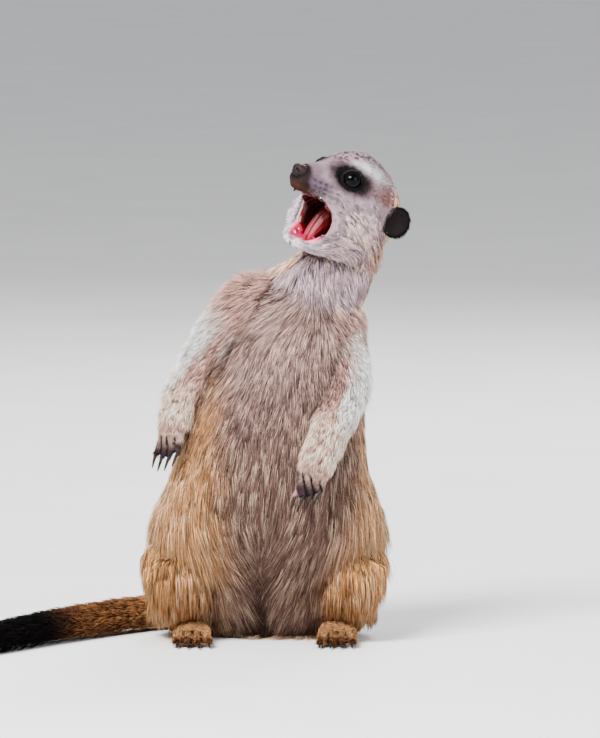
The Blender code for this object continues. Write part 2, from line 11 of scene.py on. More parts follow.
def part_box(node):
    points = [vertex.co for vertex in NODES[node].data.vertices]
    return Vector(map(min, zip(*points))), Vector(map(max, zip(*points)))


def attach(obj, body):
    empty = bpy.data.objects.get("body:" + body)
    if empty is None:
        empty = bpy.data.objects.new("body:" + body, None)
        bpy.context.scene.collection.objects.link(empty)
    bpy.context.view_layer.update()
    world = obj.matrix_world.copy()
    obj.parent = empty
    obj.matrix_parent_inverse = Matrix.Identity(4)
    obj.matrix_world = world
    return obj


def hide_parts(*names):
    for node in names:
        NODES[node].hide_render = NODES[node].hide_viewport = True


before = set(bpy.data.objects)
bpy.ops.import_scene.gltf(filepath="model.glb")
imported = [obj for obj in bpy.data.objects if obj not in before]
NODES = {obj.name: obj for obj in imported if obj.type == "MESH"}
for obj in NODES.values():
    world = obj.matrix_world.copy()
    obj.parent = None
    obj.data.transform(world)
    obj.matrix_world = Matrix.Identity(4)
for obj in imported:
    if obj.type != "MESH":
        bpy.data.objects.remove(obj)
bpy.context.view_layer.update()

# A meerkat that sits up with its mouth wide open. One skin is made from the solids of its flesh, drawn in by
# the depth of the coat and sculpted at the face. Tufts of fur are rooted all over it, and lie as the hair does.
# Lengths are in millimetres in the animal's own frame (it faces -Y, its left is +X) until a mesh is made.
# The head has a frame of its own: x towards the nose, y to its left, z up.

MM = 0.001
RNG = np.random.default_rng(11)
SIDES = {"L": 1, "R": -1}

# ---- The head, in its own frame
HEAD_AT = np.array((43.5, -12, 244.5))
HEAD_YAW, HEAD_PITCH, HEAD_ROLL = np.radians((50, 22, -13))
CAD_EYE_AT = np.array((8.2, 13.4, 5.1))
EYE_AT, EYE_RADIUS = np.array((8.2, 13.4, 6.0)), 5.3
EYE_LOOK = np.array((0.50, 0.84, 0.20))  # the way the left eye faces
LID_WIDE, LID_HIGH = 5.0, 4.3  # half sizes of the opening between the lids
LID_THICKNESS, BEHIND_LIDS = 0.55, 1.6  # over the eyeball, and how deep in the ball the skin lies between the lids
MUZZLE_END = 29
NOSE_AT, NOSE_SIZE = np.array((32.3, 0, -1.1)), np.array((4.4, 4.7, 3.9))
EAR_AT, EAR_SIZE = np.array((-20, 28, -4.4)), (8, 9.2)  # the left ear's middle, half breadth and half height
EAR_TURN = math.radians(52)  # how far the ear's hollow faces outwards from straight ahead
# The mouth's inside: roof, floor (each along and up), half width
MOUTH = (
    ((-17, -20), (-17, -25), 4),
    ((-8, -15), (-9, -26), 8.5),
    ((3, -11), (1, -29), 11.5),
    ((10.5, -9.8), (7.5, -33), 13.4),
    ((16, -9.6), (11.5, -35), 15.5),
    ((23, -10), (15.5, -35.8), 16.5),
    ((44, -13), (34, -38), 18),
)
LIP_PLANE = (33.4, -0.957, 0.461)  # the lips' x, from 1, |y| and z
CORNER_EDGE = (  # the depth below the eyes' level, and how far forward the mouth's corner reaches there
    (9, 10.5, 13, 15, 18.5, 23, 26, 27.2, 29),
    (50, 16.5, 10.8, 8.4, 6.8, 6.6, 6.6, 7.6, 50),
)
# Teeth of the left side: x, y, z, radius, length, and the ways that the upper and lower ones point
UPPER_TEETH = (
    (29.6, 0.9, -10.0, 0.35, 0.5),
    (29, 2.3, -9.9, 0.35, 0.5),
    (26.6, 4.3, -9.4, 0.55, 1.7),
    (21.6, 6.5, -9.2, 0.45, 0.9),
    (18.2, 8.2, -9.3, 0.5, 1.0),
)
LOWER_TEETH = (
    (18.0, 0.8, -37.0, 0.4, 0.8),
    (17.6, 2.3, -36.8, 0.4, 0.8),
    (15.8, 4.9, -36.2, 0.65, 2.3),
    (10.8, 8.4, -32.4, 0.7, 1.3),
    (8.2, 9.8, -30.2, 0.7, 1.3),
)
TEETH_WAYS = (0.12, 0, -1), (0.6, 0, 0.8)

# ---- Bones that the hair follows, each from its root to its end, and lines that the coat is unwrapped round
ARMS = {
    "L": ((37, -1, 174), (42.5, -8, 156), (44.5, -19, 137), (36, -37, 116), (29.5, -48.5, 100), (24, -55, 83.5)),
    "R": ((-7, 5, 178), (-21, 4, 164), (-33, 2, 148), (-43, -8, 134), (-47.5, -17, 120), (-52, -26, 102)),
}
LEG_MIDDLE = 1
LEG = ((24, 24, 60), (46, -8, 40), (49, -18, 33), (44, 2, 24), (42, 22, 12))
FOOT = ((41, 32, 6), (41, 10, 6), (40.5, -12, 5.5), (40, -29, 4.6), (39.5, -45, 3))
TAIL = ((2, 30, 20), (-6, 47, 14), (-26, 56, 10.5), (-50, 48, 9.6), (-72, 30, 9.2))
TAIL += ((-93, 5, 9), (-113, -22, 8.8), (-132, -50, 8.4), (-148, -76, 7), (-158, -93, 4.4))
SPINE = ((2, 15, -6), (2, 10, 40), (5, 0, 100), (14, 1, 145), (29, 4, 186), (36, 4, 198))
NECK_LINE = ((33, 4, 184), (42, 4, 206), (48, 2, 224))
HEAD_LINE = ((-36, 0, -12), (0, 0, -8), (38, 0, -4))

# ---- Marks on the trunk, hands and feet
HANDS = {  # knuckles, fingertips, the way across
    "L": ((26.5, -53, 91), (24, -55, 83.5), (0.97, -0.1, 0.2)),
    "R": ((-50, -23, 109), (-52, -26, 102), (0.86, -0.5, 0.1)),
}
TOES = (40, -32, 3.6), (39.5, -45, 3.0)
DIGITS = (-1.5, -0.5, 0.5, 1.5)
# spacing, radius, how much wider the tips lie, and the grooves' width and start
FINGER_SIZES, TOE_SIZES = (4.1, 1.75, 1.12, 0.24, -0.75), (5.1, 2.2, 1.1, 0.26, -0.15)
CLAWS_OVER_BELLY, THUMB_PAD = (22, -52, 80), (-45, -27, 106.5)
SHOULDER_HOLLOW = (4, 3, 189)
NIPPLE_HEIGHT = 5.0
NIPPLES = ((-19.5, 123), (-24.5, 83), (40, 84), (-19, 46.5), (14.6, 46))  # across and up, on the belly
WHORL = np.array((29, -22, 190))  # where the chest's hair parts and runs out on every side
GROIN = -3  # across, where the belly's hair runs together
BAR_SPACING = 12.5  # of the dark bars on the back

# ---- Flesh, by region: the CAD nodes, tufts to the square millimetre, tuft length, lift from the skin in degrees,
# tuft radius, clumping, depth of the coat
REGIONS = {
    "head": (("head", "jaw", "nose", "eye_L", "eye_R"), 5.0, 3.6, 14, 0.15, 0.15, 0.9),
    "ear": (("ear_L", "ear_R"), 4.0, 2.2, 26, 0.12, 0.05, 0.5),
    "neck": (("neck",), 3.2, 12.5, 18, 0.17, 0.35, 2.2),
    "chest": (("chest",), 2.6, 14, 13, 0.17, 0.4, 2.8),
    "belly": (("belly",), 2.6, 19, 11, 0.17, 0.5, 3.2),
    "upper_arm": (("upper_arm_L", "upper_arm_R"), 3.0, 9.0, 42, 0.15, 0.3, 2.0),
    "forearm": (("forearm_L", "forearm_R"), 3.4, 7.2, 34, 0.15, 0.25, 1.2),
    "hand": (("hand_L", "hand_R"), 4.4, 2.3, 16, 0.14, 0.1, 0.45),
    "thigh": (("thigh_L", "thigh_R"), 2.6, 20, 17, 0.2, 0.6, 3.2),
    "shank": (("shank_L", "shank_R"), 2.8, 14, 18, 0.2, 0.6, 2.2),
    "foot": (("foot_L", "foot_R"), 3.6, 4.6, 20, 0.15, 0.2, 0.5),
    "tail": (("tail_1", "tail_2", "tail_3", "tail_4"), 1.9, 10, 21, 0.2, 0.35, 2.2),
}
FLESH = [node for nodes, *_ in REGIONS.values() for node in nodes]
NAMES = list(REGIONS)
FINE = ("head", "ear", "hand", "foot")  # regions that keep their small forms
ARM, TRUNK, THIGH = ("upper_arm", "forearm"), ("chest", "belly"), ("thigh", "shank")

# ---- Colours, as they look in daylight (sRGB, 0 to 255)
STRONGER, DEEPER = 1.15, 1.45  # how much further from grey, and from white, than that they are made
MAUVE, LOW_MAUVE, WARM_MAUVE, WHORL_GREY = (190, 169, 166), (134, 112, 106), (170, 148, 140), (120, 98, 94)
GOLDEN, LEG_BROWN, TAN, BACK, BAR = (200, 164, 130), (188, 150, 116), (214, 184, 156), (198, 172, 146), (92, 70, 56)
THROAT, GROIN_BROWN_AND_SHADE = (204, 188, 194), (66, 40, 24)
ARM_GREY_AND_SHADED, ARM_PALE_AND_LIT, FOREARM, ARM_GOLD = (194, 168, 160), (255, 249, 242), (240, 217, 204), (214, 178, 144)
PAW, DIGIT, FOOT_BROWN, TOE = (202, 180, 170), (90, 73, 78), (190, 158, 128), (134, 102, 80)
TAIL_TAN, TAIL_BROWN, TAIL_BLACK = (178, 144, 114), (128, 98, 76), (26, 18, 16)
EAR_BACK, EAR_BLACK = (140, 112, 96), (13, 9, 9)
GUM, TONGUE_PINK, MOUTH_RED_AND_SHADE, DEEP_RED_AND_SHADE = (226, 152, 180), (180, 84, 108), (112, 20, 30), (54, 7, 10)
LIP, PALATE_IN_SHADE = (52, 34, 38), (62, 22, 24)


# ---------------------------------------------------------------- number tools
def unit(v):
    return v / np.maximum(np.linalg.norm(v, axis=-1, keepdims=True), 1e-9)


def gap(points, centre):
    return np.linalg.norm(points - np.array(centre), axis=1)


def ramp(x, low, high):
    """0 below low, 1 above high, smooth between."""
    t = np.clip((x - low) / (high - low), 0, 1)
    return t * t * (3 - 2 * t)


def bell(x, centre, width):
    return np.exp(-(((x - centre) / width) ** 2))


def dots(x, z, centres, spread):
    """1 at each centre, fading round it."""
    return np.max([np.exp(-((x - a) ** 2 + (z - b) ** 2) / spread) for a, b in centres], axis=0)


def linear(colour):
    """From a named colour to light, a little stronger, because the studio's soft light pales it."""
    c = np.asarray(colour, float) / 255
    c = np.where(c < 0.04045, c / 12.92, ((c + 0.055) / 1.055) ** 2.4)
    c = 0.7 * (c / 0.7) ** DEEPER
    grey = c.mean(axis=-1, keepdims=True)
    return np.clip(grey + (c - grey) * STRONGER, 0.001, 1)


def mix(a, b, share):
    share = np.asarray(share, float)[..., None]
    return a * (1 - share) + np.asarray(b) * share


def paint(ground, *layers):
    """Named colours laid over the ground one after another, each by its share."""
    for colour, share in layers:
        ground = mix(ground, linear(colour), share)
    return ground


def blended(parts):
    """Rows that are each weighed by a share, added up."""
    return sum(rows * share[:, None] for rows, share in parts)


LATTICE = np.random.default_rng(5).random(4096)


def noise(points, size, seed=0):
    """Smooth value noise from 0 to 1 with cells of that size."""
    q = np.asarray(points) / size + seed * 17.3
    cell = np.floor(q).astype(np.int64)
    t = q - cell
    t = t * t * (3 - 2 * t)
    total = 0
    for corner in range(8):
        bits = np.array((corner & 1, corner >> 1 & 1, corner >> 2))
        at = cell + bits
        key = (at[..., 0] * 73856093) ^ (at[..., 1] * 19349663) ^ (at[..., 2] * 83492791)
        total = total + LATTICE[key & 4095] * np.prod(np.where(bits, t, 1 - t), axis=-1)
    return total


def smooth_rows(rows, steps):
    """Rows of numbers with a Catmull-Rom curve's rows put between them."""
    rows = np.array(rows, float)
    padded = np.vstack([2 * rows[0] - rows[1], rows, 2 * rows[-1] - rows[-2]])
    made = []
    for a, b, c, d in zip(padded, padded[1:], padded[2:], padded[3:]):
        for t in np.arange(steps) / steps:
            bend = (2 * a - 5 * b + 4 * c - d) * t * t + (3 * b - a - 3 * c + d) * t**3
            made.append(b + 0.5 * ((c - a) * t + bend))
    return np.array([*made, rows[-1]])


def along(points, bone):
    """For each point: the bone's direction beside it, and the share of the bone's length."""
    line = smooth_rows(bone, 4)
    best = np.full(len(points), 1e9)
    way, share = np.zeros((len(points), 3)), np.zeros(len(points))
    lengths = np.linalg.norm(np.diff(line, axis=0), axis=1)
    start = np.concatenate([[0], np.cumsum(lengths)])
    for k, (a, b) in enumerate(zip(line, line[1:])):
        t = np.clip((points - a) @ (b - a) / lengths[k] ** 2, 0, 1)
        away = np.linalg.norm(points - (a + t[:, None] * (b - a)), axis=1)
        near = away < best
        best[near], share[near] = away[near], (start[k] + t[near] * lengths[k]) / start[-1]
        way[near] = (b - a) / lengths[k]
    return way, share


def leg_side(points, side):
    """Points of the left leg, or their mirror image on the right one."""
    return np.array(points, float) * (side, 1, 1) + ((1 - side) * LEG_MIDDLE, 0, 0)


# ---------------------------------------------------------------- frames
def head_axes():
    level = math.cos(HEAD_PITCH)
    forward = np.array((-math.sin(HEAD_YAW) * level, -math.cos(HEAD_YAW) * level, math.sin(HEAD_PITCH)))
    left = np.array((math.cos(HEAD_YAW), -math.sin(HEAD_YAW), 0))
    up = np.cross(forward, left)
    c, s = math.cos(HEAD_ROLL), math.sin(HEAD_ROLL)
    return np.array((forward, left * c + up * s, up * c - left * s))


HEAD_AXES = head_axes()


def to_head(points):
    return (points - HEAD_AT) @ HEAD_AXES.T


def from_head(points):
    return HEAD_AT + np.asarray(points) @ HEAD_AXES


# From the animal's own frame to the row's, found from where the left eye lies
SHIFT = np.array(sum(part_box("eye_L"), Vector()) / 2) / MM - from_head(CAD_EYE_AT)


def to_row(points):
    return (points + SHIFT) * MM


class Places:
    """Places on the skin, with their normals and their shares in the regions."""

    def __init__(self, spots, normals, shares):
        self.spots, self.normals, self.shares = spots, normals, shares
        self.head = to_head(spots)

    def share(self, *names):
        return sum(self.shares[:, NAMES.index(name)] for name in names)


# ---------------------------------------------------------------- meshes
def placed(name, data):
    obj = bpy.data.objects.new(name, data)
    bpy.context.scene.collection.objects.link(obj)
    return obj


def modify(obj, kind, **settings):
    step = obj.modifiers.new(kind, kind)
    for name, value in settings.items():
        setattr(step, name, value)
    return step


def numbers(mesh):
    """Places in millimetres in the animal's frame, and triangles."""
    spots = np.empty(len(mesh.vertices) * 3, np.float32)
    mesh.vertices.foreach_get("co", spots)
    mesh.calc_loop_triangles()
    faces = np.empty(len(mesh.loop_triangles) * 3, np.int32)
    mesh.loop_triangles.foreach_get("vertices", faces)
    return spots.reshape(-1, 3).astype(float) / MM - SHIFT, faces.reshape(-1, 3)


def taken(obj):
    """An object's numbers, the object itself being removed."""
    made = numbers(obj.data)
    bpy.data.objects.remove(obj)
    return made


def store(mesh, name, kind, key, values):
    """Keeps values on a mesh's points."""
    mesh.attributes.new(name, kind, "POINT").data.foreach_set(key, np.ravel(values).astype(np.float32))


def object_from(name, spots, faces, colours=None, uv=None, extra=None):
    """A mesh object from arrays of places in millimetres and triangles, in the row's frame."""
    mesh = bpy.data.meshes.new(name)
    mesh.vertices.add(len(spots))
    mesh.vertices.foreach_set("co", to_row(spots).astype(np.float32).ravel())
    mesh.loops.add(faces.size)
    mesh.loops.foreach_set("vertex_index", faces.astype(np.int32).ravel())
    mesh.polygons.add(len(faces))
    mesh.polygons.foreach_set("loop_start", np.arange(0, faces.size, 3, dtype=np.int32))
    mesh.update(calc_edges=True)
    if colours is not None:
        rgba = np.hstack([np.clip(colours, 0, 1), np.ones((len(spots), 1))])
        store(mesh, "coat", "FLOAT_COLOR", "color", rgba)
    for key, values in (extra or {}).items():
        store(mesh, key, "FLOAT", "value", values)
    if uv is not None:
        mesh.uv_layers.new(name="OFBake").data.foreach_set("uv", uv[faces.ravel()].astype(np.float32).ravel())
    mesh.shade_smooth()
    mesh.validate()
    return placed(name, mesh)


def evaluated(obj, name):
    """A plain mesh object with obj's modifiers applied, in obj's stead."""
    bpy.context.view_layer.update()
    graph = bpy.context.evaluated_depsgraph_get()
    mesh = bpy.data.meshes.new_from_object(obj.evaluated_get(graph))
    mesh.name = name
    bpy.data.objects.remove(obj)
    return placed(name, mesh)


def merged_copy(nodes, grow=0.0):
    """The named nodes as one object, their loose triangles merged and pushed out by that many millimetres."""
    whole = bmesh.new()
    for node in nodes:
        part = bmesh.new()
        part.from_mesh(NODES[node].data)
        bmesh.ops.remove_doubles(part, verts=part.verts, dist=1e-6)
        part.normal_update()
        for vert in part.verts:
            vert.co += vert.normal * grow * MM
        copy = bpy.data.meshes.new("copy")
        part.to_mesh(copy)
        part.free()
        whole.from_mesh(copy)
        bpy.data.meshes.remove(copy)
    mesh = bpy.data.meshes.new("merged")
    whole.to_mesh(mesh)
    whole.free()
    return placed("merged", mesh)


def round_ball(create, **steps):
    """A ball of radius 1, as places and triangles."""
    bm = bmesh.new()
    create(bm, radius=1, **steps)
    bmesh.ops.triangulate(bm, faces=bm.faces)
    local = np.array([v.co for v in bm.verts])
    # sorted, since triangulating lists the faces in another order each run
    faces = np.array(sorted([v.index for v in f.verts] for f in bm.faces))
    bm.free()
    return local, faces


class Web:
    """The neighbours of each vertex of a mesh, for smoothing what is stored on them."""

    def __init__(self, faces, count):
        pairs = np.vstack([faces[:, [0, 1]], faces[:, [1, 2]], faces[:, [2, 0]]])
        pairs = np.unique(np.sort(np.vstack([pairs, pairs[:, ::-1]]), axis=1), axis=0)
        pairs = np.vstack([pairs, pairs[:, ::-1], np.stack([np.arange(count)] * 2, axis=1)])
        pairs = pairs[np.argsort(pairs[:, 0], kind="stable")]
        self.beside = pairs[:, 1]
        self.start = np.searchsorted(pairs[:, 0], np.arange(count))
        self.count = np.diff(np.append(self.start, len(pairs)))

    def mean(self, values):
        total = np.add.reduceat(values[self.beside], self.start, axis=0)
        return total / (self.count if values.ndim == 1 else self.count[:, None])

    def blur(self, values, steps):
        for _ in range(steps):
            values = self.mean(values)
        return values


def vertex_normals(spots, faces):
    a, b, c = (spots[faces[:, k]] for k in range(3))
    flat = np.cross(b - a, c - a)
    total = np.zeros_like(spots)
    for k in range(3):
        for axis in range(3):
            total[:, axis] += np.bincount(faces[:, k], flat[:, axis], len(spots))
    return unit(total)


# ---------------------------------------------------------------- features, by where they lie
MOUTH_ROWS = smooth_rows([(*roof, *floor, half) for roof, floor, half in MOUTH], 14)


def mouth_value(h, margin=0.8):
    """Below 1 inside the mouth's hollow, for places in the head's frame."""
    roof, floor, half = MOUTH_ROWS[:, :2], MOUTH_ROWS[:, 2:4], MOUTH_ROWS[:, 4]
    span = floor - roof
    length = np.linalg.norm(span, axis=1)
    flat = h[:, None, [0, 2]] - roof
    share = (flat * span).sum(axis=2) / length**2
    away = np.abs(flat[..., 0] * span[:, 1] - flat[..., 1] * span[:, 0]) / length
    away = away + 3 * np.clip(np.abs(share - 0.5) - 0.6, 0, None) * length
    k = np.argmin(away, axis=1)
    rows = np.arange(len(h))
    high = np.abs(share[rows, k] - 0.5) / (0.5 + margin / length[k])
    wide = np.abs(h[:, 1]) / (half[k] + margin)
    return high**2.2 + wide**2.2 + np.clip(away[rows, k] - 1.5, 0, None)


def behind_lips(h):
    """How far a place lies behind the lips, which stand further forward at the lower lip's corners."""
    across = np.abs(h[:, 1])
    plane = LIP_PLANE[0] + LIP_PLANE[1] * across + LIP_PLANE[2] * h[:, 2]
    return plane + 6 * bell(h[:, 2], -33, 5) * ramp(across, 3, 9) - h[:, 0]


def eye_frame(side):
    """An eye's centre, and the ways across it, up it and out of it, in the head's frame."""
    centre, look = EYE_AT * (1, side, 1), unit(EYE_LOOK * (1, side, 1))
    across = unit(np.cross((0, 0, 1.0), look)) * -side  # towards the nose
    return centre, across, np.cross(look, across) * side, look


def from_eye(h, side):
    """How far across, up and out of an eye a place lies, and how far from it in the lids' half sizes."""
    centre, *axes = eye_frame(side)
    across, up, out = ((h - centre) @ axis for axis in axes)
    return across, up, out, np.hypot(across / LID_WIDE, up / LID_HIGH)


def eye_patch_gap(h):
    """Distance from the nearer eye along the head's side, stretched to the dark patch, longer than high."""
    side = np.sign(h[:, 1])
    v = h - EYE_AT * np.stack([np.ones(len(h)), side, np.ones(len(h))], axis=1)
    length = v[:, 0] * 0.98 + v[:, 2] * 0.12 - 1.0
    height = v[:, 2] * 0.98 - v[:, 0] * 0.12
    return np.sqrt((length / 1.4) ** 2 + (height / 0.92) ** 2 + (v[:, 1] * 0.5) ** 2)


def nose_gap(h):
    return np.linalg.norm((h - NOSE_AT) / NOSE_SIZE, axis=1)


def ear_place(h):
    """How far from the nearer ear's middle a place is, in its half sizes, how far in front, and the way it faces."""
    side = np.where(h[:, 1] > 0, 1.0, -1.0)
    still, none = np.ones(len(h)), np.zeros(len(h))
    v = h - EAR_AT * np.stack([still, side, still], axis=1)
    facing = np.stack([still * math.cos(EAR_TURN), side * math.sin(EAR_TURN), none], axis=1)
    across = np.stack([-still * math.sin(EAR_TURN), side * math.cos(EAR_TURN), none], axis=1)
    ring = np.hypot((v * across).sum(axis=1) / EAR_SIZE[0], v[:, 2] / EAR_SIZE[1])
    return ring, (v * facing).sum(axis=1), facing


def over_ear_share(h):
    """1 on the head above each ear, where longer pale brown hair lies over the ear's top."""
    return bell(h[:, 0], -20, 5) * bell(np.abs(h[:, 1]), 18, 6) * bell(h[:, 2], 6.5, 5)


def fringe_share(h):
    """1 on the right cheek just outside the opened mouth, where white hair stands out sideways."""
    band = bell(behind_lips(h), 1.0, 5.5) * ramp(-h[:, 1], 8.5, 11)
    return band * ramp(-h[:, 2], 7, 11) * ramp(h[:, 2], -37, -31)


def nipple_share(at, width):
    mark = dots(at.spots[:, 0], at.spots[:, 2], NIPPLES, width**2)
    return mark * (at.normals[:, 1] < -0.3) * (at.share("belly") > 0.6)


def paws():
    """Each hand and foot: where its digits start and end, the way across them, and their sizes."""
    for knuckle, tip, across in HANDS.values():
        yield np.array(knuckle), np.array(tip), unit(np.array(across)), *FINGER_SIZES
    for side in SIDES.values():
        yield *leg_side(TOES, side), np.array((side, 0, 0)), *TOE_SIZES


def digit_field(spots):
    """1 in the grooves between fingers and between toes, and how far along them each place is."""
    groove, reach = np.zeros(len(spots)), np.full(len(spots), -1.0)
    for root, tip, across, spacing, _, _, width, start in paws():
        way = tip - root
        t = (spots - root) @ way / (way @ way)
        u = (spots - root) @ across / spacing
        near = (np.abs(u) < 2.2) & (gap(spots, (root + tip) / 2) < 16) & (t > -1)
        between = np.clip(np.round(u), -1, 1)
        mark = (1 - ramp(np.abs(u - between), 0.5 * width, 1.2 * width)) * ramp(t, start, start + 0.5)
        groove[near], reach[near] = mark[near], t[near]
    return groove, reach


# ---------------------------------------------------------------- the skin
VOXEL, SKIN_TRIANGLES = 0.8, 190000
GROWTH = 0.2  # pushes the nodes a little into one another before they are joined
SMOOTHING, SMOOTHING_FINE = 30, 8  # steps, over all and at the small forms
LEAST_HEIGHT = 0.05  # of the skin over the ground


def region_shares(spots):
    """Which region each place belongs to, as a row of zeros and a one."""
    corners, faces, owner = [], [], []
    count = 0
    for k, (nodes, *_) in enumerate(REGIONS.values()):
        for node in nodes:
            here, triangles = numbers(NODES[node].data)
            corners.append(here)
            faces.append(triangles + count)
            owner += [k] * len(triangles)
            count += len(here)
    tree = BVHTree.FromPolygons(np.vstack(corners).tolist(), np.vstack(faces).tolist())
    nearest = [owner[tree.find_nearest(spot)[2]] for spot in spots.tolist()]
    return np.eye(len(REGIONS))[nearest]


def rough_skin():
    """All flesh as one closed mesh, fine on the head, hands and feet and coarser elsewhere."""
    obj = merged_copy(FLESH, GROWTH)
    modify(obj, "REMESH", mode="VOXEL", voxel_size=VOXEL * MM)
    obj = evaluated(obj, "rough")
    spots, faces = numbers(obj.data)
    coarse = Places(spots, None, region_shares(spots)).share(*FINE) < 0.5
    group = obj.vertex_groups.new(name="coarse")
    group.add(np.flatnonzero(coarse).tolist(), 1.0, "REPLACE")
    modify(obj, "DECIMATE", ratio=min(1.0, SKIN_TRIANGLES / len(faces)), vertex_group=group.name)
    return evaluated(obj, "skin")


def part_digits(spots):
    """Draws the skin of hands and feet in round each finger and toe, so that dark grooves lie between them."""
    best = np.full(len(spots), 1e9)
    goal = spots.copy()
    for root, tip, across, spacing, radius, spread, *_ in paws():
        for number in DIGITS:
            back = unit(root - tip) * (abs(number) - 1) * 2.2
            step = across * number * spacing
            start, end = root + step + back, tip + step * spread + back
            t = (spots - start) @ (end - start) / ((end - start) @ (end - start))
            on_line = start + np.clip(t, 0, 1)[:, None] * (end - start)
            away = np.linalg.norm(spots - on_line, axis=1)
            near = (t > 0.02) & (away < best) & (away < radius * 2.2)
            best[near] = away[near]
            pulled = on_line + (spots - on_line) * np.minimum(1, radius / np.maximum(away, 1e-6))[:, None]
            goal[near] = mix(spots[near], pulled[near], ramp(t[near], 0.0, 0.35))
    return goal


def open_lids(h):
    """Opens the skin over each eye, with a rim of lid close round the eyeball."""
    h = h.copy()
    for side in SIDES.values():
        centre, *_, look = eye_frame(side)
        u, w, out, ring = from_eye(h, side)
        near = (ring < 2.4) & (out > -2) & (gap(h, centre) < 16)
        flat = np.hypot(u, w)
        ball = np.sqrt(np.clip(EYE_RADIUS**2 - flat**2, 0, None))
        rim = np.sqrt(np.clip((EYE_RADIUS + LID_THICKNESS) ** 2 - flat**2, 0.5, None))
        swell = 0.25 * bell(ring, 1.15, 0.12) - 0.2 * bell(ring, 1.5, 0.14)
        lid = (np.maximum(rim, 0.6) + swell - out) * (1 - ramp(ring, 1.0, 1.9))
        h += look * (near * np.where(ring < 1, ball - BEHIND_LIDS - out, lid))[:, None]
    return h


def sculpt_head(h):
    """Face folds, the ears' hollows and the mouth's inside, on places in the head's frame."""
    h = open_lids(h)
    # the mouth's corners are drawn back, and the lower lip behind its tip stands forward
    at_side = ramp(np.abs(h[:, 1]), 9, 12)
    edge = np.interp(-h[:, 2], *CORNER_EDGE) + 40 * (1 - at_side)
    beyond = h[:, 0] > edge
    h[beyond, 0] = (edge + 2.3 * np.tanh((h[:, 0] - edge) / 4.5))[beyond]
    h[:, 0] += bell(h[:, 2], -30, 2.2) * at_side * ramp(h[:, 0], 0, 9)
    # the muzzle ends bluntly, and the skin under the nose's leather is drawn in
    tip = h[:, 0] > MUZZLE_END
    h[tip, 0] = MUZZLE_END + 5.5 * np.tanh((h[tip, 0] - MUZZLE_END) / 6.5)
    h = mix(h, NOSE_AT + (h - NOSE_AT) * 0.74, 1 - ramp(nose_gap(h), 1.0, 1.35))
    # ridges across the palate
    inside = 1 - ramp(mouth_value(h), 0.9, 1.25)
    roof = inside * ramp(h[:, 2], -22, -14) * ramp(behind_lips(h), 1, 4)
    h[:, 2] -= roof * 0.35 * np.sin(h[:, 0] * 2.1)
    # folds in the ears' hollows
    ring, front, facing = ear_place(h)
    folds = (1 - ramp(ring, 0.75, 0.95)) * ramp(front, -1, 0.5) * (0.5 * np.sin(ring * 13 + 1.2) - 0.5)
    return h + facing * folds[:, None]


def make_skin():
    """The skin's places, triangles and web of neighbours."""
    spots, faces = taken(rough_skin())
    web = Web(faces, len(spots))
    sharp = region_shares(spots)
    at = Places(spots, None, web.blur(sharp, 10))
    on_head, fine = at.share("head"), at.share(*FINE) > 0.5
    mouth = (on_head > 0.2) & (mouth_value(at.head) < 1.3)
    calm = np.where(mouth, 0.25, np.where(fine, 0.6, 1.0))
    for step in range(SMOOTHING):
        strength = (0.5 if step % 2 == 0 else -0.49) * calm * np.where(fine & (step >= SMOOTHING_FINE), 0, 1)
        spots = spots + (web.mean(spots) - spots) * strength[:, None]
    normals = vertex_normals(spots, faces)
    # drawn in by the coat's depth, less on the face, and hardly in the mouth
    depths = np.array([row[-1] for row in REGIONS.values()])
    depth = web.blur(at.shares @ depths, 6) * np.where(mouth, 0.05, 1)
    depth = depth * (1 - 0.6 * ramp(at.head[:, 0], 2, 24) * on_head)
    spots = spots - normals * web.blur(depth, 4)[:, None]
    spots = spots + normals * (NIPPLE_HEIGHT * nipple_share(Places(spots, normals, at.shares), 1.4))[:, None]
    head = to_head(part_digits(spots))
    near_head = sharp[:, NAMES.index("head")] > 0
    head[near_head] = sculpt_head(head[near_head])
    spots = from_head(head)
    spots[:, 2] = np.maximum(spots[:, 2], LEAST_HEIGHT)
    return Places(spots, vertex_normals(spots, faces), at.shares), faces, web


# ---------------------------------------------------------------- how the hair lies
def laid_on(ways, normals):
    return unit(ways - normals * (ways * normals).sum(axis=1, keepdims=True))


